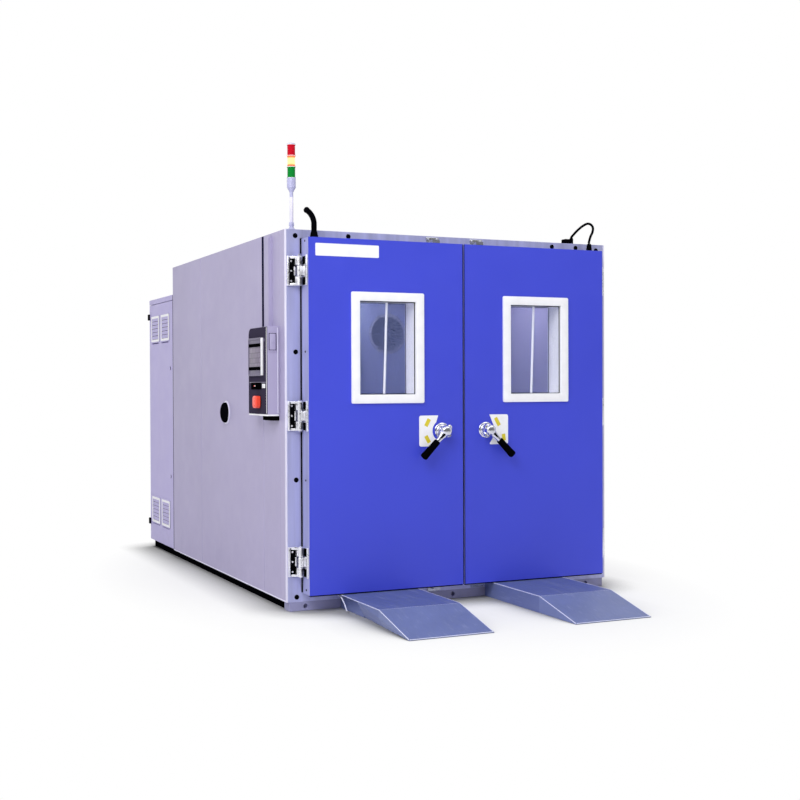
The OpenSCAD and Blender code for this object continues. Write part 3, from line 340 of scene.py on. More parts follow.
def white_stage(name):
    """Matt white floor that fades into the white background and keeps the object's soft shadow; near the object its
    white glow is dimmed by ambient occlusion, a painted contact shadow.
    """
    material = bpy.data.materials.new(name)
    material.use_nodes = True
    tree = material.node_tree
    tree.nodes.remove(tree.nodes["Principled BSDF"])
    centred = add_node(tree, "ShaderNodeMapping", {
        "Vector": object_coords(tree), "Location": (0, -0.65, 0), "Scale": (0.85, 0.55, 1)}).outputs[0]
    away = add_node(tree, "ShaderNodeVectorMath", {0: centred}, operation="LENGTH").outputs["Value"]
    fade = remap(tree, away, 0.55, 1.0, 1.1, 1.7)
    # Ambient occlusion dims the floor's white glow near the object: a painted contact shadow.
    nearby = add_node(tree, "ShaderNodeAmbientOcclusion", {"Distance": 0.30}).outputs["AO"]
    painted_contact_shadow = remap(tree, nearby, 0.0, 1.0, 0.45, 0.99)
    camera_ray = add_node(tree, "ShaderNodeLightPath").outputs["Is Camera Ray"]
    matt = add_node(tree, "ShaderNodeBsdfDiffuse", {"Color": linear("#f6f6f8")}).outputs[0]
    white = add_node(tree, "ShaderNodeEmission", {"Color": (1, 1, 1, 1), "Strength": painted_contact_shadow}).outputs[0]
    mixed = add_node(tree, "ShaderNodeMixShader", {
        0: reckon(tree, "MULTIPLY", camera_ray, fade), 1: matt, 2: white}).outputs[0]
    feed(tree, tree.nodes["Material Output"], {"Surface": mixed})
    return material


class Finish:
    """How a material is made, the usual slot of the pieces that have it, and the CAD nodes that it covers; its
    colour is a hex value or the setting that holds one, and * in a node's name stands for left and right. The slot is
    not used."""

    def __init__(self, maker, colour, slot=None, nodes="", **options):
        self.maker, self.colour, self.slot, self.nodes, self.options = maker, colour, slot, nodes.split(), options


FINISHES = {
    # The base frame is drawn near-black with no sheen.
    "base_black_enamel": Finish(powder_coat, "#050508", None, "base_frame", roughness=0.5, gloss=0.0),
    "beam_powder_coat": Finish(powder_coat, "#8f90ba", None, "front_beam", roughness=0.45, dust=0.5),
    "panel_powder_coat": Finish(powder_coat, "panel_grey", None, "*_wall roof_panel control_box", roughness=0.46,
                                dust=0.12),
    "machine_powder_coat": Finish(powder_coat, "#b6aedb", "panel_paint", "machine_housing *_service_door",
                                  roughness=0.46, dust=0.2),
    "door_powder_coat": Finish(powder_coat, "door_blue", None, "*_door_skin", roughness=0.36, edge_mm=1.5, gloss=0.4),
    "motor_enamel": Finish(powder_coat, "#26304a", None, "fan_motors", roughness=0.4),
    "compressor_enamel": Finish(powder_coat, "#0d0d10", None, "compressors", roughness=0.35),
    "panel_anthracite": Finish(powder_coat, "#3b3648", None, "control_panel", gloss=0.0),
    "mast_silver": Finish(powder_coat, "#b4b4d8", "stainless", "tower_mast", roughness=0.35, edge_mm=0.5),
    # Pale finish: the mast tube's own colour, and painted highlight on the body's corners, above its base and on the
    # control box's fold.
    "edge_trim": Finish(powder_coat, "#dcd9ee", "panel_paint", roughness=0.35, edge_mm=0.5),
    # Pale strips on the ramps' edges: wear, and painted highlight.
    "ramp_edge": Finish(powder_coat, "#e2e4fa", "ramp_paint", roughness=0.4),
    "ramp_enamel": Finish(ramp_enamel, "ramp_grey", None, "*_ramp"),
    "frame_stainless": Finish(frame_sheet, "frame_steel", None, "front_frame *_door_leaf"),
    "inner_stainless": Finish(brushed_stainless, "#a3abcb", "stainless",
                              "floor_panel rear_bulkhead air_duct_wall *_door_liner"),
    "plated_steel": Finish(brushed_stainless, "#b4b6c0", "stainless",
                           "door_strikes *_fan heater_coil humidifier_boiler *_top_bolt *_bottom_bolt",
                           grain=(40, 1, 1), roughness=0.3),
    "handle_chrome": Finish(chrome_plate, "#dedfea", "chrome",
                            "*_door_fittings *_lever hinge_frame_leaves hinge_pins"),
    "hinge_chrome": Finish(chrome_plate, "#f2f2f8", "chrome", roughness=0.26),
    "fin_aluminium": Finish(finned_aluminium, "#b9b9bd", None, "finned_coils"),
    "frame_white_abs": Finish(moulded_plastic, "#f4f4f8", "white_plastic", "*_window_frame electrical_cabinet",
                              roughness=0.32),
    "signal_yellow_vinyl": Finish(moulded_plastic, "#dccb2c", "white_plastic", roughness=0.4),
    "bezel_abs": Finish(moulded_plastic, "#6c667c", "screen_bezel", "touch_screen", roughness=0.34, gloss=0.12),
    "stop_red_abs": Finish(moulded_plastic, "#fb4d38", "stop_red", "stop_button", roughness=0.3),
    "grip_black_pa": Finish(moulded_plastic, "#050507", "black_plastic",
                            "*_grip power_switch cable_port cable_port_plug condenser_fan",
                            roughness=0.42, grain_mm=1.4, gloss=0.0),
    "seal_rubber": Finish(extruded_rubber, "#060609", "black_rubber",
                          "*_door_gasket door_cable roof_cable_block left_door_conduit"),
    "door_lead_rubber": Finish(extruded_rubber, "#060609", "black_rubber"),
    "joint_sealant": Finish(extruded_rubber, "#191630", "black_rubber", roughness=0.6),
    "window_glass": Finish(toughened_glass, "#a9b8ff", None, "*_window_glass"),
    "screen_glass": Finish(screen_glass, "#7f7689", "screen_bezel"),
    "lamp_glow": Finish(lamp_glow, "#f4f6ff", "white_plastic"),
    "lens_red": Finish(lens_plastic, "#c20c26", "lens", "tower_lenses"),
    "lens_amber": Finish(lit_lens, "#c8481e", "lens"),
    "lens_green": Finish(lens_plastic, "#04832f", "lens"),
}


class FinishSettings(bpy.types.PropertyGroup):
    """Colours of the painted pieces, as sRGB hex values."""
    door_blue: StringProperty(name="Door blue", description="Powder coat of the two door faces", default="#3e49cf")
    panel_grey: StringProperty(name="Panel grey", description="Powder coat of the wall panels", default="#aaa3c4")
    frame_steel: StringProperty(name="Frame steel", description="Brushed stainless of the door frame",
                                default="#b4b6e0")
    ramp_grey: StringProperty(name="Ramp grey", description="Enamel of the ramps", default="#6e7aa9")


class CameraSettings(bpy.types.PropertyGroup):
    """Where the photograph was taken from, in the chamber's own frame."""
    place: FloatVectorProperty(name="Place", description="Camera position", default=(-3.629, -7.062, 1.359),
                               unit="LENGTH")
    yaw: FloatProperty(name="Yaw", description="Turn to the right of the chamber's depth axis",
                       default=math.radians(24.69), subtype="ANGLE")
    pitch: FloatProperty(name="Pitch", description="Tilt above the horizon", default=math.radians(-0.67),
                         subtype="ANGLE")
    roll: FloatProperty(name="Roll", description="Turn about the line of sight", default=math.radians(-0.21),
                        subtype="ANGLE")
    lens: FloatProperty(name="Lens", description="Focal length on a 36 mm sensor", default=55.96, unit="CAMERA")


def finish(name):
    """The material of that name, made the first time it is asked for."""
    if name not in bpy.data.materials:
        made = FINISHES[name]
        if made.colour.startswith("#"):
            colour = made.colour
        else:
            colour = getattr(bpy.context.scene.chamber_finishes, made.colour)
        made.maker(name, colour, **made.options)
    return bpy.data.materials[name]


# Surfaces worked out as arrays

def shell(points, close_rows=False):
    """A skin over a grid of points whose columns close in a ring: point i, j joins i + 1 and j + 1. Its first and
    last rows are capped unless the rows close too, and it is turned to face outwards."""
    rows, columns = points.shape[:2]
    verts = points.reshape(-1, 3)
    i = np.arange(rows if close_rows else rows - 1)[:, None]
    j = np.arange(columns)[None, :]
    i2, j2 = (i + 1) % rows, (j + 1) % columns
    quads = np.stack([i * columns + j, i * columns + j2, i2 * columns + j2, i2 * columns + j], -1).reshape(-1, 4)
    faces = quads.tolist()
    if not close_rows:
        faces.append(list(range(columns))[::-1])
        faces.append(list(range((rows - 1) * columns, rows * columns)))
    a, b, c, d = np.moveaxis(verts[quads] - verts.mean(0), 1, 0)
    if (a * (np.cross(b, c) + np.cross(c, d))).sum() < 0:
        faces = [face[::-1] for face in faces]
    return verts, faces


def piece(name, shells, finish_name, body, smooth=35, replaces=()):
    """One object made of several skins, riding on a body, with its edges sharp above the smooth angle."""
    verts, faces, start = [], [], 0
    for points, corners in shells:
        verts.append(points)
        faces += [[c + start for c in face] for face in corners]
        start += len(points)
    mesh = bpy.data.meshes.new(name)
    mesh.from_pydata(np.concatenate(verts).tolist(), [], faces)
    mesh.materials.append(finish(finish_name))
    mesh.polygons.foreach_set("use_smooth", np.ones(len(mesh.polygons), bool))
    mesh.set_sharp_from_angle(angle=math.radians(smooth))
    made = bpy.data.objects.new(name, mesh)
    bpy.context.scene.collection.objects.link(made)
    if body:
        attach(made, body)
    if replaces:
        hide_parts(*replaces)
    return made


def mirrored(shells, side):
    """The same skins on the left of the centre line where side is negative."""
    if side > 0:
        return shells
    return [(points * [-1, 1, 1], [face[::-1] for face in faces]) for points, faces in shells]


def sided(pattern):
    """The left and right names that * in a pattern stands for."""
    return [pattern.replace("*", side_name) for side_name, _ in SIDES] if "*" in pattern else [pattern]


def pair(pattern, shells, finish_name, body, smooth, replaces=()):
    """A piece on the right and its mirror image on the left, on their own sides' bodies."""
    for side_name, side in SIDES:
        piece(pattern.replace("*", side_name), mirrored(shells, side), finish_name, body.replace("*", side_name),
              smooth, [node.replace("*", side_name) for node in replaces])


def lathe(profile, origin, axis=(0, 0, 1), turns=40):
    """A profile of (radius, height) points turned about the axis through origin."""
    profile = np.array(profile, float)
    axis = np.array(axis, float) / np.linalg.norm(axis)
    side = np.cross(axis, [0, 0, 1] if abs(axis[2]) < 0.9 else [1, 0, 0])
    side /= np.linalg.norm(side)
    across = np.cross(axis, side)
    angle = np.linspace(0, 2 * np.pi, turns, endpoint=False)
    ring = np.cos(angle)[:, None] * side + np.sin(angle)[:, None] * across
    return shell(origin + profile[:, 1, None, None] * axis + profile[:, 0, None, None] * ring[None])


def stud(top_radius, radius, top, shoulder, foot=0.0):
    """Profile of a screw head or boss: a flat top, one chamfer down to the shoulder and a straight side."""
    return [(0, top), (top_radius, top), (radius, shoulder), (radius, foot), (0, foot)]


def barrel(end_radius, radius, low, high, chamfer):
    """Profile of a cylinder whose two ends are chamfered."""
    return [(0, low), (end_radius, low), (radius, low + chamfer), (radius, high - chamfer), (end_radius, high),
            (0, high)]


def corner_turns(steps):
    """Angles of four quarter circles in a row, and the signs of their centres across and up."""
    quarter = np.linspace(0, np.pi / 2, steps + 1)
    turn = np.concatenate([quarter + k * np.pi / 2 for k in range(4)])
    return turn, np.repeat([1, -1, -1, 1], steps + 1), np.repeat([1, 1, -1, -1], steps + 1)


def block(lo, hi, radius, steps=3):
    """A block with rounded edges: each point is an inner corner plus the radius along a unit direction."""
    lo, hi = np.array(lo, float), np.array(hi, float)
    middle, half = (lo + hi) / 2, (hi - lo) / 2
    radius = min(radius, half.min() * 0.98)
    turn, sign_x, sign_y = corner_turns(steps)
    quarter = np.linspace(0, np.pi / 2, steps + 1)
    rise = np.concatenate([quarter - np.pi / 2, quarter])
    sign_z = np.repeat([-1, 1], steps + 1)
    inner = half - radius
    x = inner[0] * sign_x + radius * np.cos(rise)[:, None] * np.cos(turn)
    y = inner[1] * sign_y + radius * np.cos(rise)[:, None] * np.sin(turn)
    z = inner[2] * sign_z[:, None] + radius * np.sin(rise)[:, None] + 0 * x
    return shell(middle + np.stack([x, y, z], -1))


def rectangle_ring(x0, x1, z0, z1, profile, corner, axes=(0, 1, 2)):
    """A profile of (inset, depth) points carried round a rectangle with rounded corners; axes says
    which of X, Y and Z its width, depth and height run along."""
    profile = np.array(profile, float)
    inset, depth = profile[:, 0, None], profile[:, 1, None]
    turn, sign_x, sign_z = corner_turns(6)
    radius = np.maximum(corner - inset, 0.0015)
    x = (x0 + x1) / 2 + sign_x * ((x1 - x0) / 2 - inset - radius) + radius * np.cos(turn)
    z = (z0 + z1) / 2 + sign_z * ((z1 - z0) / 2 - inset - radius) + radius * np.sin(turn)
    points = np.stack([x, depth + 0 * x, z], -1)
    return shell(points[..., np.argsort(axes)], close_rows=True)


def squircle(count, exponent):
    """Points round |x|^n + |y|^n = 1, between a circle (n of 2) and a square."""
    angle = np.linspace(0, 2 * np.pi, count, endpoint=False)
    curve = np.stack([np.cos(angle), np.sin(angle)], -1)
    return curve / (np.abs(curve) ** exponent).sum(1, keepdims=True) ** (1 / exponent)


def sweep(path, radii, sides=16, reference=(0, 0, 1)):
    """A round section carried along a path, scaled by radii, square to the path's direction."""
    path = np.array(path, float)
    radii = np.broadcast_to(np.array(radii, float), (len(path),))
    tangent = np.gradient(path, axis=0)
    tangent /= np.linalg.norm(tangent, axis=1)[:, None]
    side = np.cross(tangent, np.array(reference, float))
    side /= np.linalg.norm(side, axis=1)[:, None]
    up = np.cross(side, tangent)
    angle = np.linspace(0, 2 * np.pi, sides, endpoint=False)[None, :, None]
    return shell(path[:, None] + radii[:, None, None] * (np.cos(angle) * side[:, None] + np.sin(angle) * up[:, None]))


def smooth_path(points, count):
    """A Catmull-Rom curve through given points, as count points."""
    points = np.array(points, float)
    padded = np.vstack([2 * points[0] - points[1], points, 2 * points[-1] - points[-2]])
    t = np.linspace(0, len(points) - 1 - 1e-9, count)
    i, f = np.floor(t).astype(int), (t % 1)[:, None]
    a, b, c, d = padded[i], padded[i + 1], padded[i + 2], padded[i + 3]
    return 0.5 * (2 * b + (c - a) * f + (2 * a - 5 * b + 4 * c - d) * f ** 2 + (3 * b - a - 3 * c + d) * f ** 3)


def extruded(outline, y0, y1):
    """An outline of (x, z) points, extruded from y0 to y1."""
    outline = np.array(outline, float)
    return shell(np.stack([np.insert(outline, 1, y, axis=1) for y in (y0, y1)]))


# Camera, floor and light

class CHAMBER_OT_studio(bpy.types.Operator):
    """Camera where the photograph was taken, white floor and surroundings, and soft lamps"""
    bl_idname = "chamber.studio"
    bl_label = "Studio"

    # Name, place, target, width in metres and power in watts
    lamps = (("key_lamp", (-5.2, -4.6, 6.0), (0, 0.5, 1.0), 4.5, 400),
             ("front_lamp", (3.5, -6.0, 7.5), (0, 0, 1.2), 3.5, 60),
             ("back_lamp", (2.5, 8.5, 5.5), (0, 2.5, 1.0), 4.0, 150))

    def execute(self, context):
        scene = context.scene
        scene.view_settings.view_transform = "Standard"
        self.add_camera(scene, scene.chamber_camera)
        self.add_floor(scene)
        self.add_surroundings(scene)
        for lamp in self.lamps:
            self.add_lamp(scene, *lamp)
        return {"FINISHED"}

    def add_camera(self, scene, settings):
        """The camera's axes come from its yaw, pitch and roll; it looks along -Z."""
        forward = Vector((math.sin(settings.yaw) * math.cos(settings.pitch),
                          math.cos(settings.yaw) * math.cos(settings.pitch), math.sin(settings.pitch)))
        level = Vector((math.cos(settings.yaw), -math.sin(settings.yaw), 0))
        upright = level.cross(forward)
        right = math.cos(settings.roll) * level + math.sin(settings.roll) * upright
        up = math.cos(settings.roll) * upright - math.sin(settings.roll) * level
        data = bpy.data.cameras.new("photo_camera")
        data.lens = settings.lens
        data.clip_end = 60
        camera = bpy.data.objects.new("photo_camera", data)
        turn = Matrix((right, up, -forward)).transposed().to_4x4()
        camera.matrix_world = Matrix.Translation(settings.place) @ turn
        scene.collection.objects.link(camera)
        scene.camera = camera

    def add_floor(self, scene):
        """A plane just under the base, so that the two don't flicker through each other."""
        mesh = bpy.data.meshes.new("studio_floor")
        reach, drop = 14.0, -0.0015
        corners = [(-reach, -reach, drop), (reach, -reach, drop), (reach, reach, drop), (-reach, reach, drop)]
        mesh.from_pydata(corners, [], [(0, 1, 2, 3)])
        mesh.materials.append(white_stage("white_studio_floor"))
        floor = bpy.data.objects.new("studio_floor", mesh)
        scene.collection.objects.link(floor)

    def add_surroundings(self, scene):
        """White where the camera or a pane looks at it, a plain level for the light it gives, and for
        reflections a studio that is white but for the dim room behind the camera."""
        world = bpy.data.worlds.new("white_surroundings")
        scene.world = world
        world.use_nodes = True
        tree = world.node_tree
        tree.nodes.clear()
        path = add_node(tree, "ShaderNodeLightPath").outputs
        seen = reckon(tree, "MAXIMUM", path["Is Camera Ray"], path["Is Transmission Ray"])
        toward = add_node(tree, "ShaderNodeTexCoord").outputs["Generated"]
        axes = add_node(tree, "ShaderNodeSeparateXYZ", {"Vector": toward}).outputs
        walls = remap(tree, axes["Y"], 0.22, 1.0, -0.8, -0.2)
        ceiling = remap(tree, axes["Z"], 0.0, 1.0, 0.2, 0.6)
        level = remap(tree, path["Is Glossy Ray"], remap(tree, seen, 0.58, 1.0),
                      reckon(tree, "MAXIMUM", walls, ceiling))
        light = add_node(tree, "ShaderNodeBackground", {"Color": (1, 1, 1, 1), "Strength": level}).outputs[0]
        add_node(tree, "ShaderNodeOutputWorld", {"Surface": light})

    def add_lamp(self, scene, name, place, target, size, power):
        data = bpy.data.lights.new(name, "AREA")
        data.size = size
        data.energy = power
        lamp = bpy.data.objects.new(name, data)
        aim = (Vector(target) - Vector(place)).to_track_quat("-Z", "Y").to_matrix().to_4x4()
        lamp.matrix_world = Matrix.Translation(place) @ aim
        scene.collection.objects.link(lamp)


# Pieces

class CHAMBER_OT_door_lead(bpy.types.Operator):
    """Rubber lead that loops from the block on the roof to the gland on the right door"""
    bl_idname = "chamber.door_lead"
    bl_label = "Door Lead"

    diameter = 16 * MM
    route_mm = ((886, 12, 2330.3), (886, 12, 2342.3), (904, 11, 2363), (930, 6, 2390), (960, -8, 2418),
                (986, -28, 2434), (1004, -46, 2426), (1011, -58, 2403), (1003, -63, 2373), (988, -64, 2345),
                (976, -64, 2309.3), (976, -64, 2297.3))

    def execute(self, context):
        path = smooth_path(np.array(self.route_mm) * MM, 90)
        lead = piece("door_lead", [sweep(path, self.diameter / 2, sides=20, reference=(0.6, 0.8, 0))],
                     "door_lead_rubber", None, replaces=("door_cable",))
        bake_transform(lead)
        return {"FINISHED"}


class CHAMBER_OT_paint_frame(bpy.types.Operator):
    """Gives each CAD node of the frame its finish"""
    bl_idname = "chamber.paint_frame"
    bl_label = "Paint and Plate the Frame"

    def execute(self, context):
        unpainted = set(frame["nodes"])
        for name, values in FINISHES.items():
            for node in (node for pattern in values.nodes for node in sided(pattern)):
                mesh = frame["nodes"][node].data
                mesh.materials.clear()
                mesh.materials.append(finish(name))
                unpainted.discard(node)
        if unpainted:
            raise RuntimeError(f"no finish is named for {sorted(unpainted)}")
        return {"FINISHED"}


class CHAMBER_OT_hinges(bpy.types.Operator):
    """Cast and chromed cold-room hinges: curved arms on the frame and ribbed plates on the leaves"""
    bl_idname = "chamber.hinges"
    bl_label = "Hinges"

    height = 0.180
    middle_height = 1.178

    def execute(self, context):
        self.half, self.third = self.height / 2, self.height / 3
        self.x, self.y = np.abs(joint_place("right_door_swing")[:2]) * [1, -1]
        low, high = node_box("hinge_pins")
        centres = (low[2] + self.half + 0.005, self.middle_height, high[2] - self.half - 0.01)
        for name, maker, finish_name, body in (("*_hinge_arms", self.arms, "hinge_chrome", "chamber"),
                                               ("*_hinge_recesses", self.recess, "grip_black_pa", "chamber"),
                                               ("*_hinge_plates", self.plate, "hinge_chrome", "*_door"),
                                               ("*_hinge_pads", self.pads, "grip_black_pa", "*_door")):
            pair(name, [skin for z in centres for skin in maker(z)], finish_name, body, 32)
        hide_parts("hinge_frame_leaves")
        return {"FINISHED"}

    def arms(self, z):
        """Plate on the frame, its raised rims, two knuckles with curved arms and webs, and three screw heads."""
        x0, x1 = self.x + 0.008, self.x + 0.066
        made = [block((x0, -0.0065, z - self.half), (x1, 0, z + self.half), 0.003),
                block((x1 - 0.012, -0.014, z - self.half - 0.001), (x1 + 0.001, -0.004, z + self.half + 0.001),
                      0.004),
                block((x0 + 0.002, -0.011, z - 0.028), (x0 + 0.016, -0.004, z + 0.028), 0.004)]
        angle = np.linspace(0, np.pi / 2, 9)
        turn = np.stack([np.cos(angle), np.sin(angle)], -1)[::-1]
        inner, outer = 0.024, 0.040
        centre = np.array([self.x - 0.001 + inner, -0.004 - inner - 0.010])
        top = centre + turn * [-outer, outer - 0.004] * [0.9, 0.82]
        under = centre + turn * [-inner, inner - 0.004] * [0.7, 0.5]
        outline = np.vstack([[[self.x + 0.002, self.y - 0.012]], top, [[x1 - 0.016, -0.003]],
                             [[x1 - 0.018, -0.010]], under[::-1]])
        for s in (-1, 1):
            low, high = sorted((z + s * (self.third / 2 + 0.0006), z + s * self.half))
            a, b = (high - 0.016, high - 0.002) if s > 0 else (low + 0.002, low + 0.016)
            made += [lathe(barrel(0.0115, 0.014, low, high, 0.002), (self.x, self.y, 0)),
                     self.prism(outline, a, b),
                     block((self.x - 0.006, self.y + 0.004, low + 0.004), (x0 + 0.014, -0.004, high - 0.004), 0.003)]
        screw = stud(0.0045, 0.0065, 0.011, 0.0085, 0.004)
        return made + [lathe(screw, (x1 - 0.026, 0, z + dz), (0, -1, 0), 24) for dz in (-self.third, 0, self.third)]

    def prism(self, outline, z0, z1):
        """An outline of (x, y) points carried from z0 to z1, with its first and last rings drawn in."""
        centre = outline.mean(0)
        inset = centre + (outline - centre) * 0.96
        rings = [(inset, z0), (outline, z0 + 0.0015), (outline, z1 - 0.0015), (inset, z1)]
        return shell(np.stack([np.insert(ring, 2, z, axis=1) for ring, z in rings]))

    def recess(self, z):
        """Black block in the gap behind the arms, between the two knuckles: painted shade."""
        return [block((self.x + 0.016, -0.0090, z - 0.082), (self.x + 0.054, -0.005, z + 0.082), 0.0015)]

    def plate(self, z):
        """Ribbed plate on the leaf's side, the web to the middle knuckle, that knuckle and two screw heads."""
        k = self.third / 2 - 0.0006
        face = LEAF_EDGE + 0.0002
        made = [block((face, -0.112, z - self.half), (face + 0.0045, -0.0155, z + self.half), 0.002),
                block((face, DOOR_FACE + 0.006, z - self.half - 0.002), (face + 0.011, -0.101, z + self.half + 0.002),
                      0.004),
                block((face, -0.058, z - k), (self.x - 0.002, self.y + 0.008, z + k), 0.004),
                lathe(barrel(0.0125, 0.0155, z - k, z + k, 0.003), (self.x, self.y, 0))]
        screw = stud(0.0040, 0.006, 0.009, 0.007, 0.004)
        return made + [lathe(screw, (face, -0.088, z + dz), (1, 0, 0), 24)
                       for dz in (-self.half + 0.014, self.half - 0.014)]

    def pads(self, z):
        """Dark moulded pads in the plate's upper and lower thirds, and a strip between its screws."""
        face = LEAF_EDGE + 0.003
        made = [block((face, -0.100, z + s * 0.062 - 0.023), (face + 0.007, -0.052, z + s * 0.062 + 0.023), 0.002)
                for s in (-1, 1)]
        return made + [block((face, -0.098, z - 0.030), (face + 0.0026, -0.084, z + 0.030), 0.001)]


class CHAMBER_OT_handles(bpy.types.Operator):
    """Chromed lever handles on stepped roses, with ribbed black grips and white position plates"""
    bl_idname = "chamber.handles"
    bl_label = "Lever Handles"

    drop = math.radians(45)
    grip_start = 0.088
    grip_end = 0.228
    reach = 0.066

    def execute(self, context):
        pivot = joint_place("right_handle_turn")
        self.centre = np.array([abs(pivot[0]), DOOR_FACE, pivot[2]])
        pair("*_handle_rose", self.rose(), "handle_chrome", "*_door", 32, replaces=("*_door_fittings",))
        pair("*_lever_casting", self.lever(), "handle_chrome", "*_handle", 40, replaces=("*_lever",))
        pair("*_lever_inlays", self.inlays(), "grip_black_pa", "*_handle", 40)
        pair("*_grip_sleeve", self.grip(), "grip_black_pa", "*_handle", 30, replaces=("*_grip",))
        self.plates()
        return {"FINISHED"}

    def along(self, distance, across, out):
        """A point at a distance down the lever, across it, and out from the door face."""
        down = np.array([math.sin(self.drop), 0, -math.cos(self.drop)])
        over = np.array([math.cos(self.drop), 0, math.sin(self.drop)])
        return self.centre + distance * down + across * over + np.array([0, -out, 0])

    def rose(self):
        """Flange with two steps and a collar, and four raised screw bosses."""
        profile = [(0, 0.0), (0.049, 0.0), (0.050, 0.0015), (0.050, 0.004), (0.047, 0.0065), (0.041, 0.0075),
                   (0.039, 0.011), (0.036, 0.0135), (0.031, 0.0145), (0.029, 0.018), (0.027, 0.030),
                   (0.025, 0.032), (0, 0.032)]
        boss = stud(0.003, 0.0042, 0.0105, 0.009, 0.004)
        return [lathe(profile, self.centre, (0, -1, 0), 56)] + [
            lathe(boss, self.centre + np.array([math.cos(a), 0, math.sin(a)]) * 0.0435, (0, -1, 0), 20)
            for a in np.radians((45, 135, 225, 315))]

    def bar(self, section, spots, wide, deep):
        """The section at each spot, wide across the lever and deep out from the door."""
        over = self.along(0, 1, 0) - self.along(0, 0, 0)
        return shell(spots[:, None] + section[None, :, :1] * wide[:, None, None] * over
                     + section[None, :, 1:] * deep[:, None, None] * np.array([0, -1, 0]))

    def arm(self, rows):
        """A bar through (distance, out, half width, half depth) rows, joined by a smooth curve."""
        distance, out, wide, deep = smooth_path(rows, 24).T
        spots = np.array([self.along(d, 0, o) for d, o in zip(distance, out)])
        return self.bar(squircle(24, 3.2), spots, wide, deep)

    def lever(self):
        """Hub with a domed cap, tapered arm, short tail, spindle, the knob inside the chamber and the side lock."""
        inner = self.centre * [1, 0, 1] + [0, LEAF_BACK + 0.0345, 0]
        hub = [(0, 0.0325), (0.029, 0.0325), (0.033, 0.036), (0.034, 0.046), (0.034, 0.070), (0.031, 0.079),
               (0.024, 0.084), (0.013, 0.0862), (0, 0.0865)]
        knob = [(0, 0.0), (0.028, 0.0), (0.030, 0.003), (0.030, 0.022), (0.026, 0.0285), (0.016, 0.0315), (0, 0.0318)]
        cap = stud(0.011, 0.0125, 0.0085, 0.007)[::-1]
        barrel = [(0, 0.0), (0.0165, 0.0), (0.0165, 0.020), (0.0135, 0.024), (0, 0.0245)]
        return [lathe(hub, self.centre, (0, -1, 0), 48),
                self.arm([(0.0, 0.058, 0.026, 0.019), (0.030, 0.060, 0.023, 0.017), (0.055, 0.0645, 0.0165, 0.013),
                          (0.078, self.reach, 0.0145, 0.012), (0.096, self.reach, 0.0145, 0.012)]),
                self.arm([(-0.046, 0.056, 0.012, 0.011), (-0.036, 0.056, 0.019, 0.015), (-0.018, 0.057, 0.023, 0.018),
                          (0.0, 0.058, 0.024, 0.018)]),
                lathe([(0, 0.0), (0.010, 0.0), (0.010, 0.075), (0, 0.075)],
                      self.centre + [0, LEAF_BACK - DOOR_FACE + 0.034, 0], (0, -1, 0), 24),
                lathe(knob, inner - [0, 0.0092, 0], (0, 1, 0), 40),
                lathe(cap, self.along(0.0, -0.036, 0.050), (0, -1, 0), 28),
                lathe(barrel, self.along(0.006, -0.030, 0.034), (0, -1, 0), 28)]

    def inlays(self):
        """Black strip along the arm, painted shade in its slot, and the keyhole of the side lock."""
        slot = []
        for distance, wide in ((0.024, 0.001), (0.028, 0.006), (0.062, 0.0052), (0.068, 0.001)):
            out = self.reach + 0.0105 + 0.007 * (0.068 - distance) / 0.044
            slot.append([self.along(distance, s * wide, o) for s, o in
                         ((-1, out - 0.012), (1, out - 0.012), (1, out), (-1, out))])
        key = self.along(0.006, -0.030, 0.0575)
        return [shell(np.array(slot)), block(key - [0.0015, 0.0, 0.006], key + [0.0015, 0.0022, 0.006], 0.0007)]

    def grip(self):
        """Sleeve with a squarish section that swells to its end; shallow ribs run round its middle."""
        t = np.linspace(0, 1, 64)
        half = 0.0195 + 0.0035 * t ** 1.4
        half = half - 0.0009 * (np.sin(t * np.pi * 18) > 0.55) * (t > 0.18) * (t < 0.86)
        end = np.sqrt(np.clip(1 - np.clip((t - 0.93) / 0.07, 0, 1) ** 2, 0, 1))
        half = half * (0.62 + 0.38 * end) * np.where(t < 0.02, 0.9, 1)
        spots = np.array([self.along(self.grip_start + (self.grip_end - self.grip_start) * s, 0, self.reach)
                          for s in t])
        return [self.bar(squircle(28, 3.0), spots, half, half * 0.94)]

    def plates(self):
        """White plates with rounded corners beside the roses, with two plain yellow position bars each."""
        place = self.centre[[0, 2]]
        front, back = DOOR_FACE - 0.0016, DOOR_FACE - 0.0001
        arc = np.radians(np.linspace(-50, 52, 12))
        hollow = 0.066 * np.stack([np.cos(arc), np.sin(arc)], -1)
        outlines = {
            "left": np.vstack([[(0.026, 0.096), (0.145, 0.096), (0.1535, 0.0925), (0.157, 0.084), (0.157, -0.084),
                                (0.1535, -0.0925), (0.145, -0.096), (0.066, -0.096)], hollow]),
            "right": [(0.027, 0.097), (0.150, 0.097), (0.1585, 0.0935), (0.162, 0.085), (0.162, -0.081),
                      (0.1585, -0.0895), (0.150, -0.093), (0.034, -0.093), (0.028, -0.086), (0.052, -0.052),
                      (0.064, -0.012), (0.060, 0.022), (0.044, 0.058)]}
        bars = {"left": (((0.088, 0.074), (0.112, 0.030)), ((0.112, -0.030), (0.088, -0.072))),
                "right": (((0.070, 0.076), (0.098, 0.026)), ((0.128, -0.028), (0.134, -0.070)))}
        for name, side in SIDES:
            plate = [extruded(outlines[name] + place, front, back)]
            piece(f"{name}_position_plate", mirrored(plate, side), "frame_white_abs", f"{name}_door", 30)
            made = []
            for start, end in np.array(bars[name]) + place:
                run = (end - start) / np.linalg.norm(end - start)
                cross = np.array([run[1], -run[0]]) * 0.0125
                made.append(extruded([start + cross, end + cross, end - cross, start - cross],
                                     front - 0.0006, front + 0.0004))
            piece(f"{name}_position_bars", mirrored(made, side), "signal_yellow_vinyl", f"{name}_door", 30)


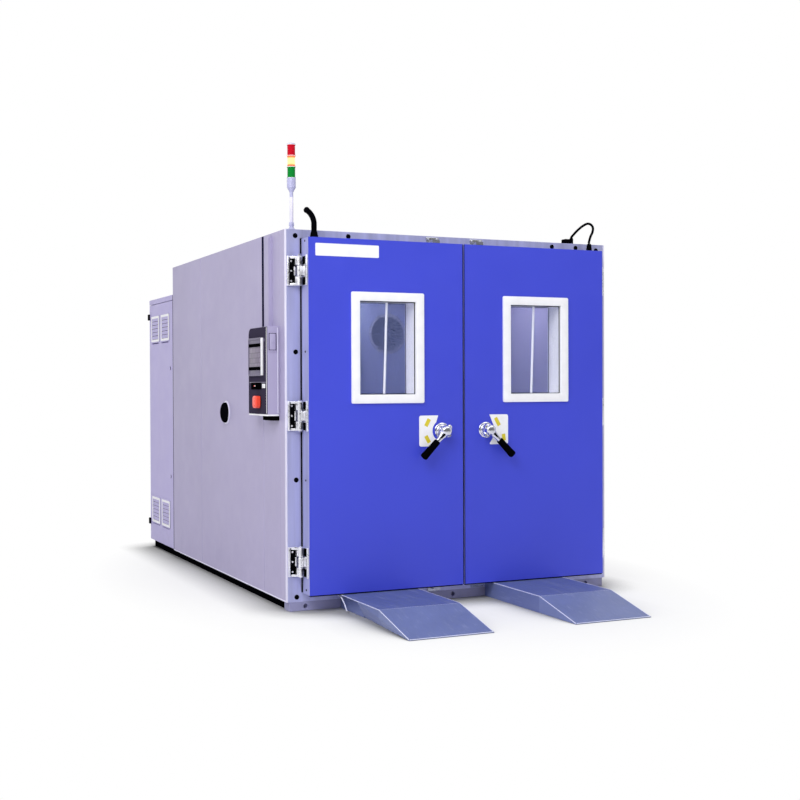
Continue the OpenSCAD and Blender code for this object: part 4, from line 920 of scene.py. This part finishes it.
class CHAMBER_OT_windows(bpy.types.Operator):
    """White window frames that line the leaf and trim both its faces, thin black gaskets and a slim stay"""
    bl_idname = "chamber.windows"
    bl_label = "Windows"

    face, lining, inner = 0.054, 0.006, 0.020
    stay_bend = 1.58

    def execute(self, context):
        low, high = node_box("right_window_frame")
        pane_low, pane_high = node_box("right_window_glass")
        face, inner, front, back = self.face, self.inner, low[1], high[1] - 0.006
        section = [(0.0, DOOR_FACE - 0.0002), (0.0, front + 0.0035), (0.001, front + 0.001), (0.0035, front),
                   (face - 0.004, front), (face - 0.001, front + 0.001), (face, front + 0.004),
                   (face, high[1] - 0.002), (face - 0.002, high[1]), (inner + 0.002, high[1]),
                   (inner, high[1] - 0.002), (inner, back + 0.0002), (face - self.lining, back + 0.0002),
                   (face - self.lining, DOOR_FACE - 0.0002)]
        ring = rectangle_ring(low[0], high[0], low[2], high[2], section, 0.010)
        dark_ring = []
        for y, s in ((pane_low[1], -1), (pane_high[1], 1)):
            lip = [(0.0005, y), (0.0005, y + s * 0.004), (0.002, y + s * 0.005), (0.0045, y + s * 0.002), (0.005, y)]
            dark_ring.append(rectangle_ring(pane_low[0], pane_high[0], pane_low[2], pane_high[2], lip, 0.003))
        pair("*_window_surround", [ring], "frame_white_abs", "*_door", 30, replaces=("*_window_frame",))
        pair("*_window_gaskets", dark_ring, "seal_rubber", "*_door", 30)
        middle, depth = (pane_low[0] + pane_high[0]) / 2, pane_low[1] + 0.034
        for name, side in SIDES:
            x, lean = middle + 0.004 * side, 0.0095 * side
            rod = sweep([(x + lean, depth, pane_high[2]), (x, depth, self.stay_bend), (x - lean, depth, pane_low[2])],
                        0.0075, 16, reference=(0, 1, 0))
            piece(f"{name}_window_stay", mirrored([rod], side), "frame_white_abs", f"{name}_door", 40)
        return {"FINISHED"}


class CHAMBER_OT_plates_and_plugs(bpy.types.Operator):
    """Blank name plate on the left door, rubber plugs round the door frame and screws in the leaves' edges"""
    bl_idname = "chamber.plates_and_plugs"
    bl_label = "Plates and Plugs"

    plate = (-0.992, -0.580, 2.134, 2.209)  # left, right, bottom, top
    screw_heights = (1.563, 0.792)

    def execute(self, context):
        x0, x1, z0, z1 = self.plate
        corner, turn = 0.006, np.linspace(0, np.pi / 2, 5)
        centres = [(x1 - corner, z1 - corner), (x0 + corner, z1 - corner), (x0 + corner, z0 + corner),
                   (x1 - corner, z0 + corner)]
        outline = np.vstack([centre + corner * np.stack([np.cos(turn + k * np.pi / 2), np.sin(turn + k * np.pi / 2)],
                                                        -1) for k, centre in enumerate(centres)])
        piece("blank_name_plate", [extruded(outline, DOOR_FACE - 0.0022, DOOR_FACE - 0.0001)], "frame_white_abs",
              "left_door", 30)
        plugs = [(side * 1.072, z) for z in (2.262, *self.screw_heights) for side in (-1, 1)] + [(-1.072, 0.085)]
        plugs += [(x, 2.272) for x in (-0.727, 0.727, 0.911)]
        dome = [(0, 0.0052), (0.006, 0.0050), (0.012, 0.0036), (0.0148, 0.0012), (0.0150, 0.0002), (0, 0.0002)]
        piece("frame_plugs", [lathe(dome, (x, 0, z), (0, -1, 0), 28) for x, z in plugs], "seal_rubber", "chamber", 40)
        screw = [(0, 0.0030), (0.003, 0.0030), (0.0062, 0.0016), (0.0070, 0.0002), (0, 0.0002)]
        pair("*_leaf_screws", [lathe(screw, (LEAF_EDGE, -0.070, z), (1, 0, 0), 20)
                               for z in (*self.screw_heights, 2.225, 0.135)], "seal_rubber", "*_door", 40)
        return {"FINISHED"}


class CHAMBER_OT_seals(bpy.types.Operator):
    """Black seal lips round the leaves, also painted shade in the gaps there; sealed joints of the wall panels; a
    dark strip above the control box as painted shade; pale strips at the body's corners as painted highlight
    """
    bl_idname = "chamber.seals"
    bl_label = "Seals and Joints"

    def execute(self, context):
        high, outer = LEAF_TOP - 0.002, LEAF_EDGE + 0.007
        # Seal lips brought out past the leaves' edges and under their fronts: partly real seal, partly painted shade
        # in the gaps round the leaves.
        lips = [block((LEAF_EDGE - 0.018, -0.0098, LEAF_BOTTOM + 0.004), (outer, -0.0006, high), 0.002),
                block((0.010, -0.0098, high - 0.014), (outer, -0.0006, high + 0.0055), 0.002),
                block((0.010, DOOR_FACE + 0.003, LEAF_BOTTOM - 0.0072),
                      (LEAF_EDGE - 0.004, DOOR_FACE + 0.032, LEAF_BOTTOM - 0.0003), 0.001),
                block((SKIN_LOW[0] + 0.0002, DOOR_FACE - 0.0010, LEAF_BOTTOM + 0.002),
                      (SKIN_LOW[0] + 0.0034, DOOR_FACE + 0.004, high), 0.0006)]
        pair("*_door_seal_lips", lips, "seal_rubber", "*_door", 40)
        unit_low, unit_high = node_box("machine_housing")
        bead = [block((HALF_WIDTH - 0.004, unit_low[1] - 0.003, BASE_TOP),
                      (HALF_WIDTH + 0.0012, unit_low[1] + 0.003, unit_high[2] - 0.004), 0.0006)]
        # Dark strip on the left wall above the control box: painted shade.
        upper = [block((HALF_WIDTH - 0.004, 0.402, 1.70), (HALF_WIDTH + 0.0016, 0.438, BODY_TOP - 0.002), 0.0008)]
        proud = HALF_WIDTH + 0.0014
        # Pale strips at the body's front corners and along the foot of each side wall: painted highlight.
        trim = [block((HALF_WIDTH - 0.009, -0.0014, BASE_TOP), (proud, 0.018, BODY_TOP - 0.0004), 0.003),
                block((HALF_WIDTH - 0.003, 0.018, BASE_TOP + 0.0005), (proud, unit_low[1], BASE_TOP + 0.009), 0.0008)]
        piece("panel_joints", mirrored(bead + upper, -1) + bead, "joint_sealant", "chamber", 40)
        piece("body_edge_trim", mirrored(trim, -1) + trim, "edge_trim", "chamber", 40)
        return {"FINISHED"}


class CHAMBER_OT_signal_tower(bpy.types.Operator):
    """Red, amber and green lamps with ribbed lenses under a pale cap, on a silver mast; the amber is lit"""
    bl_idname = "chamber.signal_tower"
    bl_label = "Signal Tower"

    cap_height = 0.009

    def execute(self, context):
        low, high = node_box("tower_lenses")
        x, y = (low[:2] + high[:2]) / 2
        radius = (high[0] - low[0]) / 2
        tall = (high[2] - self.cap_height - low[2]) / 3
        t = np.linspace(0.0, 1.0, 41)
        ribs = radius - 0.0024 + 0.0007 * np.cos(t * 2 * np.pi * 10)
        for i, name in enumerate(("lens_green", "lens_amber", "lens_red")):
            z = low[2] + i * tall
            profile = [(0, z + 0.001), (radius - 0.001, z + 0.001), (radius, z + 0.0022), (radius, z + 0.0045)]
            profile += zip(ribs, z + 0.005 + (tall - 0.010) * t)
            profile += [(radius, z + tall - 0.0045), (radius, z + tall - 0.0022), (radius - 0.001, z + tall - 0.001),
                        (0, z + tall - 0.001)]
            piece(name, [lathe(profile, (x, y, 0), turns=48)], name, "chamber", 40,
                  replaces=("tower_lenses",) if i == 0 else ())
        joint = barrel(radius - 0.0005, radius + 0.0001, -0.0016, 0.0016, 0.0008)
        cap = [(0, 0.0016), (radius, 0.0016), (radius, 0.004), (radius - 0.003, 0.0068), (radius - 0.009, 0.0088),
               (0, self.cap_height)]
        tube = [(0.0108, 0.0), (0.0114, 0.001), (0.0114, 0.20), (0.0108, 0.201)]
        collar = [(0.0112, 0.0262), (0.0145, 0.0262), (0.0155, 0.028), (0.0155, 0.046), (0.0145, 0.048),
                  (0.0112, 0.048)]
        mast_foot = (x, y, node_box("tower_mast")[0][2])
        piece("lens_joints", [lathe(joint, (x, y, low[2] + i * tall), turns=48) for i in range(4)],
              "frame_white_abs", "chamber", 40)
        piece("tower_cap", [lathe(cap, (x, y, high[2] - self.cap_height), turns=48)], "mast_silver", "chamber", 40)
        piece("mast_tube", [lathe(tube, mast_foot)], "edge_trim", "chamber", 35)
        piece("mast_collar", [lathe(collar, mast_foot)], "mast_silver", "chamber", 35)
        return {"FINISHED"}


class CHAMBER_OT_control_box(bpy.types.Operator):
    """Anthracite face with screen, selector switch and square stop button, and the box's cover details"""
    bl_idname = "chamber.control_box"
    bl_label = "Control Box"

    hasp_low, hasp_high = 1.578, 1.676

    def execute(self, context):
        panel_low, panel_high = node_box("control_panel")
        screen_low, screen_high = node_box("touch_screen")
        self.face = panel_low[0] + 0.005
        self.screen(*screen_low[1:], *screen_high[1:])
        self.selector()
        self.stop_button()
        for build in (self.strips, self.box_details):
            build(*panel_low[1:], *panel_high[1:])
        return {"FINISHED"}

    def on_face(self, y0, y1, z0, z1, out0, out1, radius):
        """A rounded block on the panel's face, from out0 to out1 off it."""
        return block((self.face - out1, y0, z0), (self.face - out0, y1, z1), radius)

    def on_side(self, out0, out1, y0, y1, z0, z1, radius):
        """A rounded block beside the box, from out0 to out1 off the chamber's left wall."""
        return block((-HALF_WIDTH - out1, y0, z0), (-HALF_WIDTH - out0, y1, z1), radius)

    def turned(self, profile, y, z, out=0.0, turns=48):
        """A profile turned about an axis square to the panel's face."""
        return lathe(profile, (self.face - out, y, z), (-1, 0, 0), turns)

    def screen(self, y0, z0, y1, z1):
        """Light bezel, dark bars above and below the picture, and the screen itself; the bezel's bright side is a
        white strip of painted highlight, made with the panel's strips.
        """
        deep = 0.0140
        profile = [(0.0, 0.0002), (0.0, deep - 0.003), (0.003, deep), (0.012, deep), (0.016, deep - 0.004),
                   (0.016, 0.0002)]
        bezel = rectangle_ring(y0, y1, z0, z1, [(inset, self.face - out) for inset, out in profile], 0.008,
                               axes=(1, 0, 2))
        base = self.on_face(y0 + 0.014, y1 - 0.014, z0 + 0.014, z1 - 0.014, 0.0005, 0.0105, 0.001)
        piece("screen_bezel", [bezel, base], "bezel_abs", "chamber", 30, replaces=("touch_screen",))
        bars = [self.on_face(y0 + 0.010, y1 - 0.016, z, z + 0.020, 0.010, 0.0148, 0.001)
                for z in (z0 + 0.036, z1 - 0.056)]
        piece("screen_bars", bars, "grip_black_pa", "chamber", 30)
        picture = self.on_face(y0 + 0.018, y1 - 0.020, z0 + 0.058, z1 - 0.058, 0.010, 0.0122, 0.0005)
        piece("screen_picture", [picture], "screen_glass", "chamber", 30)

    def selector(self):
        """Black rotary knob on a dark escutcheon, its pointer half red and half white, and a legend strip."""
        y, z = joint_place("power_switch_turn")[1:]
        plate_out = 0.0052
        plate = self.on_face(y - 0.046, y + 0.146, z - 0.021, z + 0.021, 0.0002, plate_out, 0.002)
        ring = [(0.0175, 0.0), (0.0215, 0.0), (0.0215, 0.003), (0.0195, 0.005), (0.0175, 0.005)]
        piece("switch_plate", [plate, self.turned(ring, y, z, plate_out, 36)], "grip_black_pa", "chamber", 30)
        knob = [(0, 0.0006), (0.0168, 0.0006), (0.0168, 0.0100), (0.0150, 0.0152), (0.0120, 0.0160), (0, 0.0160)]
        bar = self.on_face(y - 0.0165, y + 0.0165, z - 0.0046, z + 0.0046, plate_out + 0.0140, plate_out + 0.0244,
                           0.0025)
        piece("switch_knob", [self.turned(knob, y, z, plate_out), bar], "grip_black_pa", "power_switch", 30,
              replaces=("power_switch",))
        for name, finish_name, y0, y1 in (("switch_pointer", "frame_white_abs", y - 0.0160, y - 0.0010),
                                          ("switch_pointer_red", "stop_red_abs", y + 0.0005, y + 0.0130)):
            mark = self.on_face(y0, y1, z - 0.0030, z + 0.0030, plate_out + 0.0240, plate_out + 0.0250, 0.0004)
            piece(name, [mark], finish_name, "power_switch", 30)
        legend = self.on_face(y - 0.118, y - 0.058, z - 0.013, z + 0.013, 0.0002, 0.0016, 0.0006)
        piece("switch_legend_plate", [legend], "frame_white_abs", "chamber", 30)

    def stop_button(self):
        """Square cap with a domed face over its stem: rings that shrink along a quarter circle as they rise."""
        low, high = node_box("stop_button")
        y, z = (low[1:] + high[1:]) / 2
        half = (high[1] - low[1]) / 2
        front, back = low[0], self.face - 0.0063
        t = np.linspace(0, 1, 14)
        across = np.concatenate([[0.93, 1.0], np.full(4, 1.0), np.sqrt(1 - (0.985 * t) ** 2)])
        out = np.concatenate([[0.0, 0.03], np.linspace(0.1, 0.62, 4), 0.66 + 0.34 * t ** 0.55])
        square = squircle(48, 4.2) * half
        rings = np.stack([np.insert(square * a + [y, z], 0, back + (front - back) * o, axis=1)
                          for a, o in zip(across, out)])
        stem = [(0, -0.002), (0.011, -0.002), (0.011, 0.0062), (0, 0.0062)]
        piece("stop_button_cap", [shell(rings), self.turned(stem, y, z, turns=32)], "stop_red_abs", "stop_button",
              40, replaces=("stop_button",))
        collar = [(0.0116, 0.0002), (0.033, 0.0002), (0.033, 0.0030), (0.031, 0.0045), (0.0116, 0.0045)]
        piece("stop_button_collar", [self.turned(collar, y, z)], "grip_black_pa", "chamber", 30)

    def strips(self, y0, z0, y1, z1):
        """Light strips above and below the screen, and white strips at the panel's and the screen's front edges as
        painted highlight.
        """
        strips = [self.on_face(y0 + 0.040, y1 - 0.036, z1 - 0.086, z1 - 0.070, 0.0002, 0.0016, 0.0006),
                  self.on_face(y0 + 0.020, y1 - 0.022, z0 + 0.190, z0 + 0.196, 0.0002, 0.0014, 0.0005)]
        piece("panel_strips", strips, "bezel_abs", "chamber", 30)
        low, high = node_box("touch_screen")
        # White strips along the screen's side and the panel's front edge: painted highlight.
        edges = [self.on_face(low[1] - 0.001, low[1] + 0.013, low[2] + 0.004, high[2] - 0.004, 0.002, 0.0152, 0.002),
                 self.on_face(y0 + 0.001, y0 + 0.005, z0 + 0.004, z1 - 0.004, 0.0002, 0.0022, 0.0006)]
        piece("screen_edge", edges, "frame_white_abs", "chamber", 30)

    def box_details(self, y0, z0, y1, z1):
        """Lip under the box and a black block below it as painted shadow; hasp, a dark ring round it as painted
        shade, and a pale strip on the fold of the cover on its front side as painted highlight.
        """
        lip = block((self.face - 0.0012, y0 - 0.003, z0 - 0.012), (-HALF_WIDTH - 0.004, y1 + 0.002, z0 - 0.0022),
                    0.003)
        piece("box_bottom_lip", [lip], "frame_white_abs", "chamber", 30)
        # Black block under the box: painted shadow.
        underside_shadow = self.on_side(0.0005, 0.046, y0 + 0.010, y0 + 0.190, z0 - 0.040, z0 - 0.0125, 0.003)
        piece("box_cable_tray", [underside_shadow], "grip_black_pa", "chamber", 30)
        y = y0 - 0.0075
        rivet = lathe(stud(0.0055, 0.0068, 0.0068, 0.0055), (-HALF_WIDTH - 0.048, y - 0.0025, 1.626), (0, -1, 0), 28)
        hasp = self.on_side(0.028, 0.068, y - 0.004, y + 0.002, self.hasp_low, self.hasp_high, 0.003)
        piece("box_hasp", [hasp, rivet], "panel_powder_coat", "chamber", 30)
        # Dark ring round the hasp: painted shade at its edges.
        dark_ring = self.on_side(0.0245, 0.0715, y - 0.0012, y + 0.002, self.hasp_low - 0.0035, self.hasp_high + 0.0035,
                              0.0015)
        piece("box_hasp_gasket", [dark_ring], "joint_sealant", "chamber", 30)
        # Pale strip on the fold of the cover: painted highlight.
        fold = self.on_side(0.012, 0.018, y - 0.0010, y + 0.002, z0 + 0.004, z1 - 0.006, 0.0008)
        piece("box_side_fold", [fold], "edge_trim", "chamber", 30)


class CHAMBER_OT_glands(bpy.types.Operator):
    """Ribbed swan-neck conduit on the left door, the gland on the right door and the block on the roof"""
    bl_idname = "chamber.glands"
    bl_label = "Conduit and Glands"

    neck_x, neck_y = -0.975, -0.064
    rise, bend, sweep_angle, tube = 0.084, 0.095, math.radians(58), 0.0175
    rib_pitch = 0.0042
    lead_exit = (0.886, 0.012)

    def gland(self, x, y, z, radius, height):
        """Hexagonal nut, ribbed dome and lip of a cable gland."""
        nut = [(0, z + 0.0003), (radius, z + 0.0003), (radius * 1.03, z + 0.002), (radius * 1.03, z + height * 0.40),
               (radius, z + height * 0.42), (0, z + height * 0.42)]
        t = np.linspace(0, 1, 13)
        ribs = zip(radius * (0.90 - 0.22 * t ** 2) + 0.0006 * (np.arange(13) % 2), z + height * (0.46 + 0.50 * t))
        dome = [(0, z + height * 0.41), (radius * 0.9, z + height * 0.41), *ribs, (0, z + height * 0.965)]
        return [lathe(nut, (x, y, 0), turns=6), lathe(dome, (x, y, 0), turns=36)]

    def swan_neck(self):
        """Straight ribbed tube that bends over in an arc, and the ferrule at its open end."""
        straight = np.linspace(LEAF_TOP + 0.030, LEAF_TOP + self.rise, 16)
        angle = np.append(np.linspace(0, self.sweep_angle, 44)[1:], self.sweep_angle)
        centre = np.array([self.neck_x - self.bend, self.neck_y, LEAF_TOP + self.rise])
        arc = centre + self.bend * np.column_stack([np.cos(angle), 0 * angle, np.sin(angle)])
        upright = np.column_stack([np.full(16, self.neck_x), np.full(16, self.neck_y), straight])
        path = smooth_path(np.vstack([upright, arc[:-1]]), 220)
        length = np.concatenate([[0], np.cumsum(np.linalg.norm(np.diff(path, axis=0), axis=1))])
        wave = np.sin(length / self.rib_pitch * 2 * np.pi)
        radii = self.tube - 0.0006 + 0.0006 * np.sign(wave) * np.abs(wave) ** 0.6
        radii = np.where(length > length[-1] - 0.004, self.tube, radii)
        ferrule = [(0, -0.004), (0.0178, -0.004), (0.0186, -0.002), (0.0186, 0.008), (0.0172, 0.0100),
                   (0.0136, 0.0150), (0.0100, 0.0180), (0, 0.0180)]
        axis = (-math.sin(self.sweep_angle), 0, math.cos(self.sweep_angle))
        return [sweep(path, radii, 20, reference=(0, 1, 0)), lathe(ferrule, arc[-1], axis, 32)]

    def execute(self, context):
        gland_at = (self.neck_x, self.neck_y, LEAF_TOP, 0.024, 0.044)
        piece("left_door_swan_neck", self.swan_neck() + self.gland(*gland_at), "seal_rubber", "left_door", 40,
              replaces=("left_door_conduit",))
        piece("right_door_gland", self.gland(LEAF_EDGE - 0.060, self.neck_y, LEAF_TOP, 0.018, 0.053), "seal_rubber",
              "right_door", 40)
        low, high = node_box("roof_cable_block")
        outlet = [(0, -0.006), (0.0125, -0.006), (0.0125, 0.002), (0.0105, 0.006), (0.0086, 0.010), (0, 0.010)]
        made = [block(low, high, 0.004),
                block(low + [0.006, 0.004, high[2] - 0.004 - low[2]], high - [0.006, 0.004, 0], 0.0015),
                lathe(outlet, (*self.lead_exit, high[2]), turns=28)]
        piece("roof_lead_block", made, "seal_rubber", "chamber", 35, replaces=("roof_cable_block",))
        return {"FINISHED"}


class CHAMBER_OT_keepers(bpy.types.Operator):
    """Plated covers over the bolt keepers above the doors, with two screws each"""
    bl_idname = "chamber.keepers"
    bl_label = "Bolt Keepers"

    def execute(self, context):
        z = node_box("door_strikes")[1][2] - 0.040
        handle_x = abs(joint_place("right_handle_turn")[0])
        screw = [(0, 0.0032), (0.003, 0.0032), (0.0055, 0.0018), (0.0060, 0.0), (0, 0.0)]
        made = []
        for x in (-handle_x, handle_x):
            made.append(block((x - 0.043, -0.0068, z + 0.0215), (x + 0.043, -0.0005, z + 0.0405), 0.002))
            made += [lathe(screw, (x + dx, -0.0066, z + 0.031), (0, -1, 0), 20) for dx in (-0.030, 0.030)]
        piece("keeper_covers", made, "handle_chrome", "chamber", 30)
        return {"FINISHED"}


class CHAMBER_OT_cable_port(bpy.types.Operator):
    """Domed rubber head of the loose bung and the pale ring pressed round the port"""
    bl_idname = "chamber.cable_port"
    bl_label = "Cable Port"

    def execute(self, context):
        low, high = node_box("cable_port")
        y, z = (low[1:] + high[1:]) / 2
        plug_low, plug_high = node_box("cable_port_plug")
        head = (plug_high[2] - plug_low[2]) / 2
        dome = [(head * math.cos(a), 0.010 + 0.024 * math.sin(a)) for a in np.linspace(0, 1.35, 12)]
        dome = [(0, 0.0), (head, 0.0), *dome, (0, 0.0345)]
        piece("port_bung_head", [lathe(dome, (low[0] - 0.0004, y, z), (-1, 0, 0), 56)], "seal_rubber",
              "cable_port_plug", 45)
        reach = (high[2] - low[2]) / 2
        ring = [(reach - 0.003, 0.0002), (reach + 0.006, 0.0002), (reach + 0.006, 0.0040), (reach + 0.003, 0.0060),
                (reach - 0.003, 0.0060)]
        piece("port_ring", [lathe(ring, (-HALF_WIDTH, y, z), (-1, 0, 0), 56)], "edge_trim", "chamber", 40)
        return {"FINISHED"}


class CHAMBER_OT_louvres(bpy.types.Operator):
    """White pressed louvre frames with slanted vanes on the service doors, with black plates behind them as painted
    shade between the vanes and round the frames; the doors' locks and hinge caps
    """
    bl_idname = "chamber.louvres"
    bl_label = "Louvres and Locks"

    wide, tall, pitch, gap = 0.236, 0.225, 0.030, 0.092
    heights = (0.212, 1.725)

    def execute(self, context):
        front = node_box("machine_housing")[0][1]
        door_back = node_box("right_service_door")[1][1]
        face = HALF_WIDTH
        ring = [(0.0, face - 0.001), (0.0, face + 0.0040), (0.001, face + 0.0049), (0.018, face + 0.0049),
                (0.019, face + 0.0040), (0.019, face - 0.001)]
        vanes, frames, shade_plates = [], [], []
        for y in (front + 0.130, front + 0.130 + self.wide + self.gap):
            for z in self.heights:
                frames.append(rectangle_ring(y - 0.010, y + self.wide + 0.010, z + 0.006, z + self.tall - 0.006, ring,
                                             0.006, axes=(1, 0, 2)))
                vanes += [self.vane(y + 0.003, y + self.wide - 0.003, z + 0.006 + i * self.pitch) for i in range(7)]
                # Black plate behind each frame: painted shade between the vanes and round the frame.
                shade_plates.append(block((face - 0.002, y - 0.014, z + 0.002),
                                  (face + 0.0009, y + self.wide + 0.014, z + self.tall - 0.002), 0.0003))
        pair("*_louvre_gaps", shade_plates, "grip_black_pa", "*_service_door", 30)
        pair("*_louvre_frames", frames, "frame_white_abs", "*_service_door", 30)
        pair("*_louvre_vanes", vanes, "machine_powder_coat", "*_service_door", 40)
        lock = [(0, 0.0049), (0.0055, 0.0049), (0.0062, 0.0042), (0.0066, 0.0036), (0.0125, 0.0036),
                (0.0134, 0.0028), (0.0138, 0.0002), (0, 0.0002)]
        locks = [lathe(lock, (face, front + 0.084, z), (1, 0, 0), 32) for z in (0.635, 1.503)]
        pair("*_service_locks", locks, "grip_black_pa", "*_service_door", 35)
        for (name, side), out in zip(SIDES, (0.013, 0.0045)):
            caps = [block((face - 0.002, door_back - 0.034, z), (face + out, door_back - 0.0005, z + 0.050), 0.002)
                    for z in (0.190, 1.920)]
            piece(f"{name}_lift_hinge_caps", mirrored(caps, side), "grip_black_pa", f"{name}_service_door", 35)
        return {"FINISHED"}

    def vane(self, y0, y1, z):
        """A pressed hood: a quarter wave from the door's face out to its lower lip, closed at both ends."""
        t = np.linspace(0, np.pi / 2, 9)
        outer = np.stack([0.0014 + 0.0031 * np.sin(t), z + 0.018 - 0.014 * (1 - np.cos(t))], -1)
        outline = np.vstack([outer, outer[::-1] + [-0.0012, -0.0008]])
        return shell(np.stack([np.insert(outline * [scale, 1] + [HALF_WIDTH, 0], 1, y, axis=1)
                               for y, scale in ((y0, 0.15), (y0 + 0.004, 1.0), (y1 - 0.004, 1.0), (y1, 0.15))]))


class CHAMBER_OT_test_space(bpy.types.Operator):
    """Two lit lamps under the ceiling, guards over the fan outlets and return grilles in the duct wall"""
    bl_idname = "chamber.test_space"
    bl_label = "Test Space"

    lamp_x = 0.62
    fan_x = 0.520

    def execute(self, context):
        ceiling = node_box("roof_panel")[0][2]
        lamps, rims = [], []
        for x in (-self.lamp_x, self.lamp_x):
            lamps.append(block((x - 0.17, 0.66, ceiling - 0.052), (x + 0.17, 0.78, ceiling - 0.012), 0.016))
            rims.append(block((x - 0.19, 0.64, ceiling - 0.0145), (x + 0.19, 0.80, ceiling - 0.0002), 0.004))
        piece("ceiling_lamps", lamps, "lamp_glow", "chamber", 40)
        piece("ceiling_lamp_rims", rims, "inner_stainless", "chamber", 30)
        wall_y = node_box("air_duct_wall")[0][1]
        fan_z = joint_place("right_fan_spin")[2]
        rings, bars = [], []
        for side in (-1, 1):
            fan_x = side * self.fan_x
            for radius in np.arange(0.03, 0.178, 0.0185):
                wire = [(radius - 0.0015, -0.0015), (radius + 0.0015, -0.0015), (radius + 0.0015, 0.0015),
                        (radius - 0.0015, 0.0015)]
                rings.append(lathe(wire, (fan_x, wall_y + 0.008, fan_z), (0, 1, 0), 56))
            centre = np.array([fan_x, wall_y + 0.0035, fan_z])
            for a in np.radians((0, 60, 120)):
                run = np.array([math.cos(a), 0, math.sin(a)]) * 0.184
                bars.append(sweep([centre - run, centre, centre + run], 0.0026, 8, reference=(0, 1, 0)))
            for z in np.arange(0.196, 0.515, 0.024):
                x0, x1 = sorted((side * 0.190, side * 0.850))
                bars.append(sweep([(x, wall_y - 0.002, z) for x in (x0, (x0 + x1) / 2, x1)], 0.0026, 8))
        piece("fan_guards", rings + bars, "plated_steel", "chamber", 40)
        return {"FINISHED"}


class CHAMBER_OT_ramp_trim(bpy.types.Operator):
    """Pale strips on the ramps' edges, on the crease where the slope starts and on a folded lip of the left one: worn
    edges, lightened further as painted highlight
    """
    bl_idname = "chamber.ramp_trim"
    bl_label = "Ramp Trim"

    radius = 0.0027

    def execute(self, context):
        for name, _ in SIDES:
            (x0, toe, _), (x1, back, top) = node_box(f"{name}_ramp")
            crease = back - RAMP_PLATEAU
            edges = []
            for x in (x0 + 0.0022, x1 - 0.0022):
                spine = np.array([(x, back, top - 0.0019), (x, crease, top - 0.0019), (x, toe + 0.006, 0.0032)])
                fine = np.vstack([np.linspace(spine[0], spine[1], 24), np.linspace(spine[1], spine[2], 24)[1:]])
                edges.append(sweep(fine, self.radius, 10, reference=(1, 0, 0.01)))
            for y, z in ((crease, top - 0.0026), (toe + 0.0035, 0.0032)):
                edges.append(sweep(np.linspace((x0 + 0.004, y, z), (x1 - 0.004, y, z), 12), self.radius, 10))
            if name == "left":
                t = np.linspace(0, 1, 24)
                lip = np.column_stack([np.full(24, x0 + 0.0012), back - 0.04 - 0.16 * t,
                                       top - 0.006 - (top - 0.022) * t ** 2.4])
                edges.append(sweep(lip, 0.0040, 10, reference=(1, 0, 0)))
            piece(f"{name}_ramp_edges", edges, "ramp_edge", f"{name}_ramp", 60)
        return {"FINISHED"}


class CHAMBER_PT_panel(bpy.types.Panel):
    """Builds the chamber's pieces one by one"""
    bl_idname = "CHAMBER_PT_panel"
    bl_label = "Test Chamber"
    bl_space_type = "VIEW_3D"
    bl_region_type = "UI"
    bl_category = "Test Chamber"

    def draw(self, context):
        scene = context.scene
        for settings in (scene.chamber_camera, scene.chamber_finishes):
            for key in settings.bl_rna.properties.keys():
                if key not in ("rna_type", "name"):
                    self.layout.prop(settings, key)
        for step in STEPS:
            self.layout.operator(step.bl_idname)


STEPS = (CHAMBER_OT_studio, CHAMBER_OT_door_lead, CHAMBER_OT_paint_frame, CHAMBER_OT_hinges, CHAMBER_OT_handles,
         CHAMBER_OT_windows, CHAMBER_OT_plates_and_plugs, CHAMBER_OT_seals, CHAMBER_OT_signal_tower,
         CHAMBER_OT_control_box, CHAMBER_OT_glands, CHAMBER_OT_keepers, CHAMBER_OT_cable_port, CHAMBER_OT_louvres,
         CHAMBER_OT_test_space, CHAMBER_OT_ramp_trim)
CLASSES = (FinishSettings, CameraSettings) + STEPS + (CHAMBER_PT_panel,)


def register():
    for cls in CLASSES:
        bpy.utils.register_class(cls)
    bpy.types.Scene.chamber_finishes = PointerProperty(type=FinishSettings)
    bpy.types.Scene.chamber_camera = PointerProperty(type=CameraSettings)


def unregister():
    del bpy.types.Scene.chamber_camera
    del bpy.types.Scene.chamber_finishes
    for cls in reversed(CLASSES):
        bpy.utils.unregister_class(cls)


def main():
    """Registers the classes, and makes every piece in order."""
    register()
    for step in STEPS:
        category, name = step.bl_idname.split(".")
        getattr(getattr(bpy.ops, category), name)()


if __name__ == "__main__":
    main()
